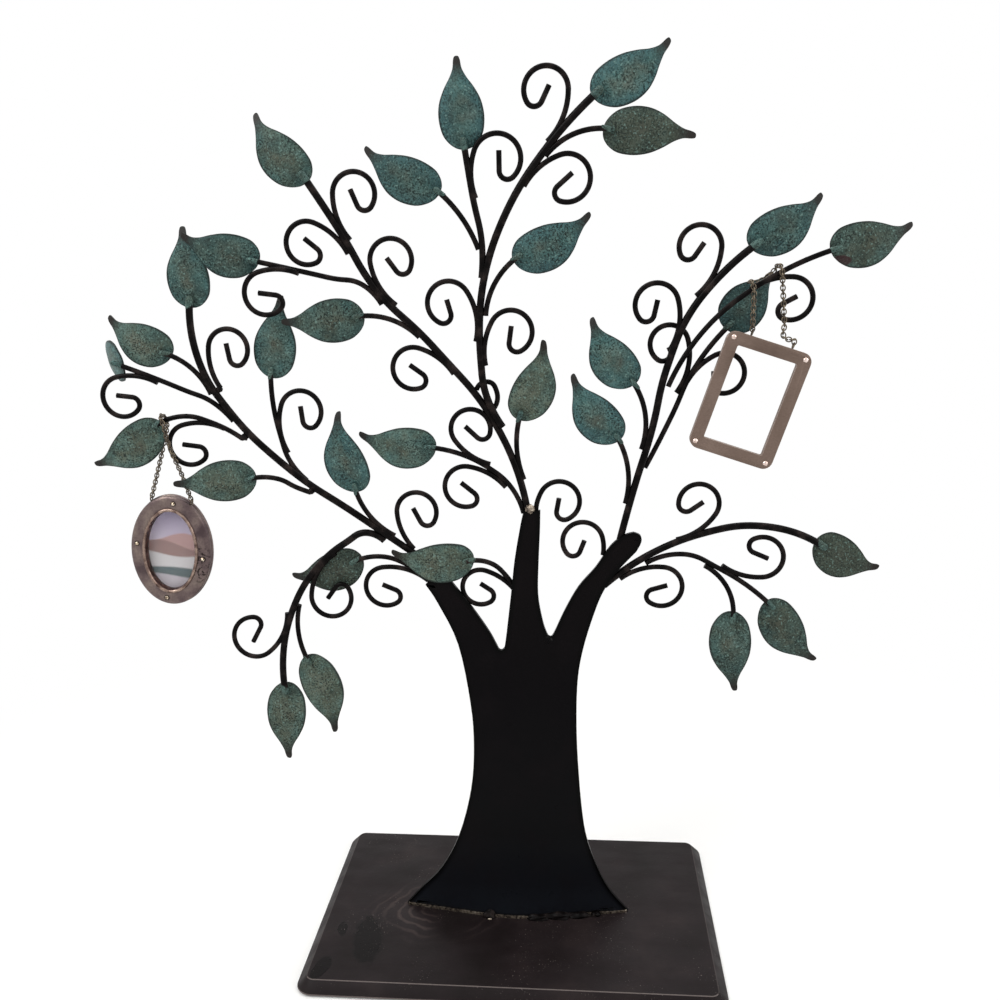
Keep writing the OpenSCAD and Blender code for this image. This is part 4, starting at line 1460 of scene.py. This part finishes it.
@dataclass
class Frames:
    """The two hanging frames with their pins, studs, window and card."""

    edge: float = 0.4
    oval_size: tuple[float, float] = (21.0, 29.0)
    around: int = 96
    # how far in from the outer edge each step of the rim lies, and how far forward
    rim: tuple[tuple[float, float], ...] = (
        (1.2, 0.15),
        (0.1, 0.15),
        (0.0, 0.5),
        (0.0, 1.3),
        (0.35, 1.9),
        (1.4, 2.35),
        (3.4, 2.65),
        (5.6, 2.75),
        (6.3, 2.6),
        (6.5, 2.55),
    )
    lip: tuple[tuple[float, float], ...] = (
        (6.2, 2.0),
        (6.35, 2.85),
        (6.7, 3.3),
        (7.3, 3.45),
        (7.75, 3.2),
        (8.0, 2.6),
    )
    recess: tuple[tuple[float, float], ...] = ((7.95, 2.7), (8.1, 0.6), (8.25, -1.3))
    groove: tuple[tuple[float, float], ...] = ((1.4, 0.4), (0.7, 0.2), (0.7, -0.5), (1.4, -0.7))
    shell: tuple[tuple[float, float], ...] = (
        (7.4, -0.9),
        (1.2, -0.35),
        (0.1, -0.35),
        (-0.25, -0.7),
        (-0.35, -1.4),
        (-0.2, -2.4),
        (0.5, -2.95),
        (2.0, -3.0),
    )
    # how far in each sheet ends, how far forward it lies, and how thick it is
    picture: tuple[float, float, float] = (7.6, -1.05, 0.4)
    clear: tuple[float, float, float] = (7.7, 0.1, 0.8)
    stone_inset: float = 3.6
    stone_front: float = 2.65
    stone_radius: float = 1.15

    def rect(self, nodes: dict[str, bpy.types.Object]) -> None:
        """Makes the rectangular frame's plates and dresses its fittings.

        Args:
            nodes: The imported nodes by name.
        """
        bronze = BRUSHED_BRONZE.build()
        for node in ("rect_front", "rect_back"):
            mesh = merged(nodes[node])
            soften(mesh, self.edge, 2, 50)
            seat(mesh, f"{node}_plate", Body.RECT_FRAME, "rect_metal", (node,), bronze, 40)
        # the spacer's dark is painted shade between the plates
        dress(nodes["rect_spacer"], GAP_SHADE_AND_SETTING_METAL.build())
        dress(nodes["rect_pins"], PIN_METAL.build())

    def upright(self, mesh: bmesh.types.BMesh) -> None:
        """Moves a mesh from the oval frame's own place to where it hangs.

        Args:
            mesh: The mesh, in millimetres, with its front along +Z.
        """
        turn = Matrix.Rotation(math.radians(OVAL_TURN), 4, "Z")
        place = Matrix.Translation(OVAL_MIDDLE) @ turn
        for vert in mesh.verts:
            point = place @ vert.co
            vert.co = on_tree(point.x, point.y, point.z)
        bmesh.ops.recalc_face_normals(mesh, faces=mesh.faces)

    def ring(self, mesh: bmesh.types.BMesh, steps: tuple[tuple[float, float], ...], closed: bool) -> None:
        """Draws an oval ring's profile out, step by step.

        Args:
            mesh: The mesh that gets the ring.
            steps: How far in and how far forward each step of the profile lies.
            closed: Whether the last step is capped, and not left open behind another piece.
        """
        wide, high = self.oval_size
        made = bmesh.ops.create_circle(mesh, segments=self.around, radius=1)
        edges = list({e for v in made["verts"] for e in v.link_edges})
        verts = made["verts"]
        last = (1, 1)
        for number, (inset, front) in enumerate(steps):
            if number:
                grown = bmesh.ops.extrude_edge_only(mesh, edges=edges)["geom"]
                edges = [g for g in grown if isinstance(g, bmesh.types.BMEdge)]
                verts = [g for g in grown if isinstance(g, bmesh.types.BMVert)]
            for vert in verts:
                away = math.atan2(vert.co.y / last[1], vert.co.x / last[0])
                vert.co = Vector(((wide - inset) * math.cos(away), (high - inset) * math.sin(away), front))
            last = (wide - inset, high - inset)
            edges = [e for e in edges if all(v in verts for v in e.verts)]
        if closed:
            bmesh.ops.contextual_create(mesh, geom=edges)

    def card(self, inset: float, front: float) -> bmesh.types.BMesh:
        """Makes an oval sheet that fills the opening.

        Args:
            inset: How far in from the rim's outer edge the sheet ends.
            front: How far forward it lies.

        Returns:
            The sheet with its UV map.
        """
        wide, high = (v - inset for v in self.oval_size)
        mesh = bmesh.new()
        bmesh.ops.create_circle(mesh, cap_ends=True, segments=self.around, radius=1)
        layer = mesh.loops.layers.uv.new("UVMap")
        for face in mesh.faces:
            for loop in face.loops:
                loop[layer].uv = (loop.vert.co.x / 2 + 0.5, loop.vert.co.y / 2 + 0.5)
        for vert in mesh.verts:
            vert.co = Vector((vert.co.x * wide, vert.co.y * high, front))
        return mesh

    def oval(self, nodes: dict[str, bpy.types.Object]) -> None:
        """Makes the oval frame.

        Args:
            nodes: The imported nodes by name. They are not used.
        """
        pewter, dark = PEWTER.build(), RECESS_SHADE_METAL.build()
        rings = (
            # the lip's light bronze is a painted highlight
            ("oval_lip", self.lip, (), LIP_HIGHLIGHT_METAL.build()),
            # painted shade in the recess and the groove
            ("oval_recess", self.recess, (), dark),
            ("oval_groove", self.groove, (), dark),
            ("oval_rim", self.rim, ("oval_front",), pewter),
            ("oval_shell", self.shell, ("oval_back",), pewter),
        )
        for name, steps, stands_for, material in rings:
            mesh = bmesh.new()
            self.ring(mesh, steps, steps is self.shell)
            self.upright(mesh)
            seat(mesh, name, Body.OVAL_FRAME, "oval_metal", stands_for, material, 50)
        sheets = (
            ("oval_picture", self.picture, "photo_card", "oval_card", HillCard()),
            ("oval_clear", self.clear, "clear_sheet", "oval_window", ClearSheet()),
        )
        for name, (inset, front, thick), slot, node, finish in sheets:
            mesh = self.card(inset, front)
            bmesh.ops.solidify(mesh, geom=mesh.faces, thickness=thick)
            self.upright(mesh)
            seat(mesh, name, Body.OVAL_FRAME, slot, (node,), finish.build())
        self.stones()

    def stones(self) -> None:
        """Makes the four cut stones in their dark settings."""
        wide, high = (v - self.stone_inset for v in self.oval_size)
        stones, cups = bmesh.new(), bmesh.new()
        front = self.stone_front
        for quarter in range(4):
            away = math.radians(90 * quarter - 6)
            place = Matrix.Translation((wide * math.cos(away), high * math.sin(away), front))
            cut = bmesh.ops.create_icosphere(stones, subdivisions=1, radius=self.stone_radius, matrix=place)
            for vert in cut["verts"]:
                vert.co.z = front + (vert.co.z - front) * 0.75
            bmesh.ops.create_cone(
                cups,
                cap_ends=True,
                segments=20,
                radius1=1.5,
                radius2=1.35,
                depth=0.5,
                matrix=place,
            )
        self.upright(stones)
        self.upright(cups)
        seat(stones, "oval_stones", Body.OVAL_FRAME, "stud_metal", ("oval_studs",), Stone().build(), 1)
        seat(cups, "stone_cups", Body.OVAL_FRAME, "stud_metal", (), GAP_SHADE_AND_SETTING_METAL.build(), 30)

    def build(self, nodes: dict[str, bpy.types.Object]) -> None:
        """Makes both frames.

        Args:
            nodes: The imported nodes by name.
        """
        self.rect(nodes)
        self.oval(nodes)


@dataclass
class Branches:
    """The wire of the boughs, twigs and scrolls, with lumps of weld that cover three gaps in the solids."""

    starts: tuple[str, ...] = ("bough", "twig", "scroll")
    # the place of each lump on the tree's flat view, and its radius
    lumps: tuple[tuple[float, float, float, float], ...] = (
        (-133.1, 262.9, 0.0, 1.9),
        (-100.7, 235.4, 0.5, 1.7),
        (-144.0, 286.8, 0.0, 1.6),
    )

    def build(self, nodes: dict[str, bpy.types.Object]) -> None:
        """Dresses every wire and adds the lumps.

        Args:
            nodes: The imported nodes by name.
        """
        wire = BlackWire().build()
        for name, node in nodes.items():
            if name.startswith(self.starts):
                node.data.shade_smooth()
                node.data.set_sharp_from_angle(angle=math.radians(50))
                dress(node, wire)
        seat(welds(self.lumps), "wire_welds", Body.STAND, "black_steel", (), wire, 60)


def main() -> None:
    """Builds the studio and the whole object."""
    logging.basicConfig(level=logging.INFO, format="%(message)s")
    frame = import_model()
    nodes = frame["nodes"]
    Studio().build()
    Base().build(nodes)
    Trunk().build(nodes)
    Branches().build(nodes)
    Foliage().build()
    Chain().build(nodes)
    Frames().build(nodes)


if __name__ == "__main__":
    main()
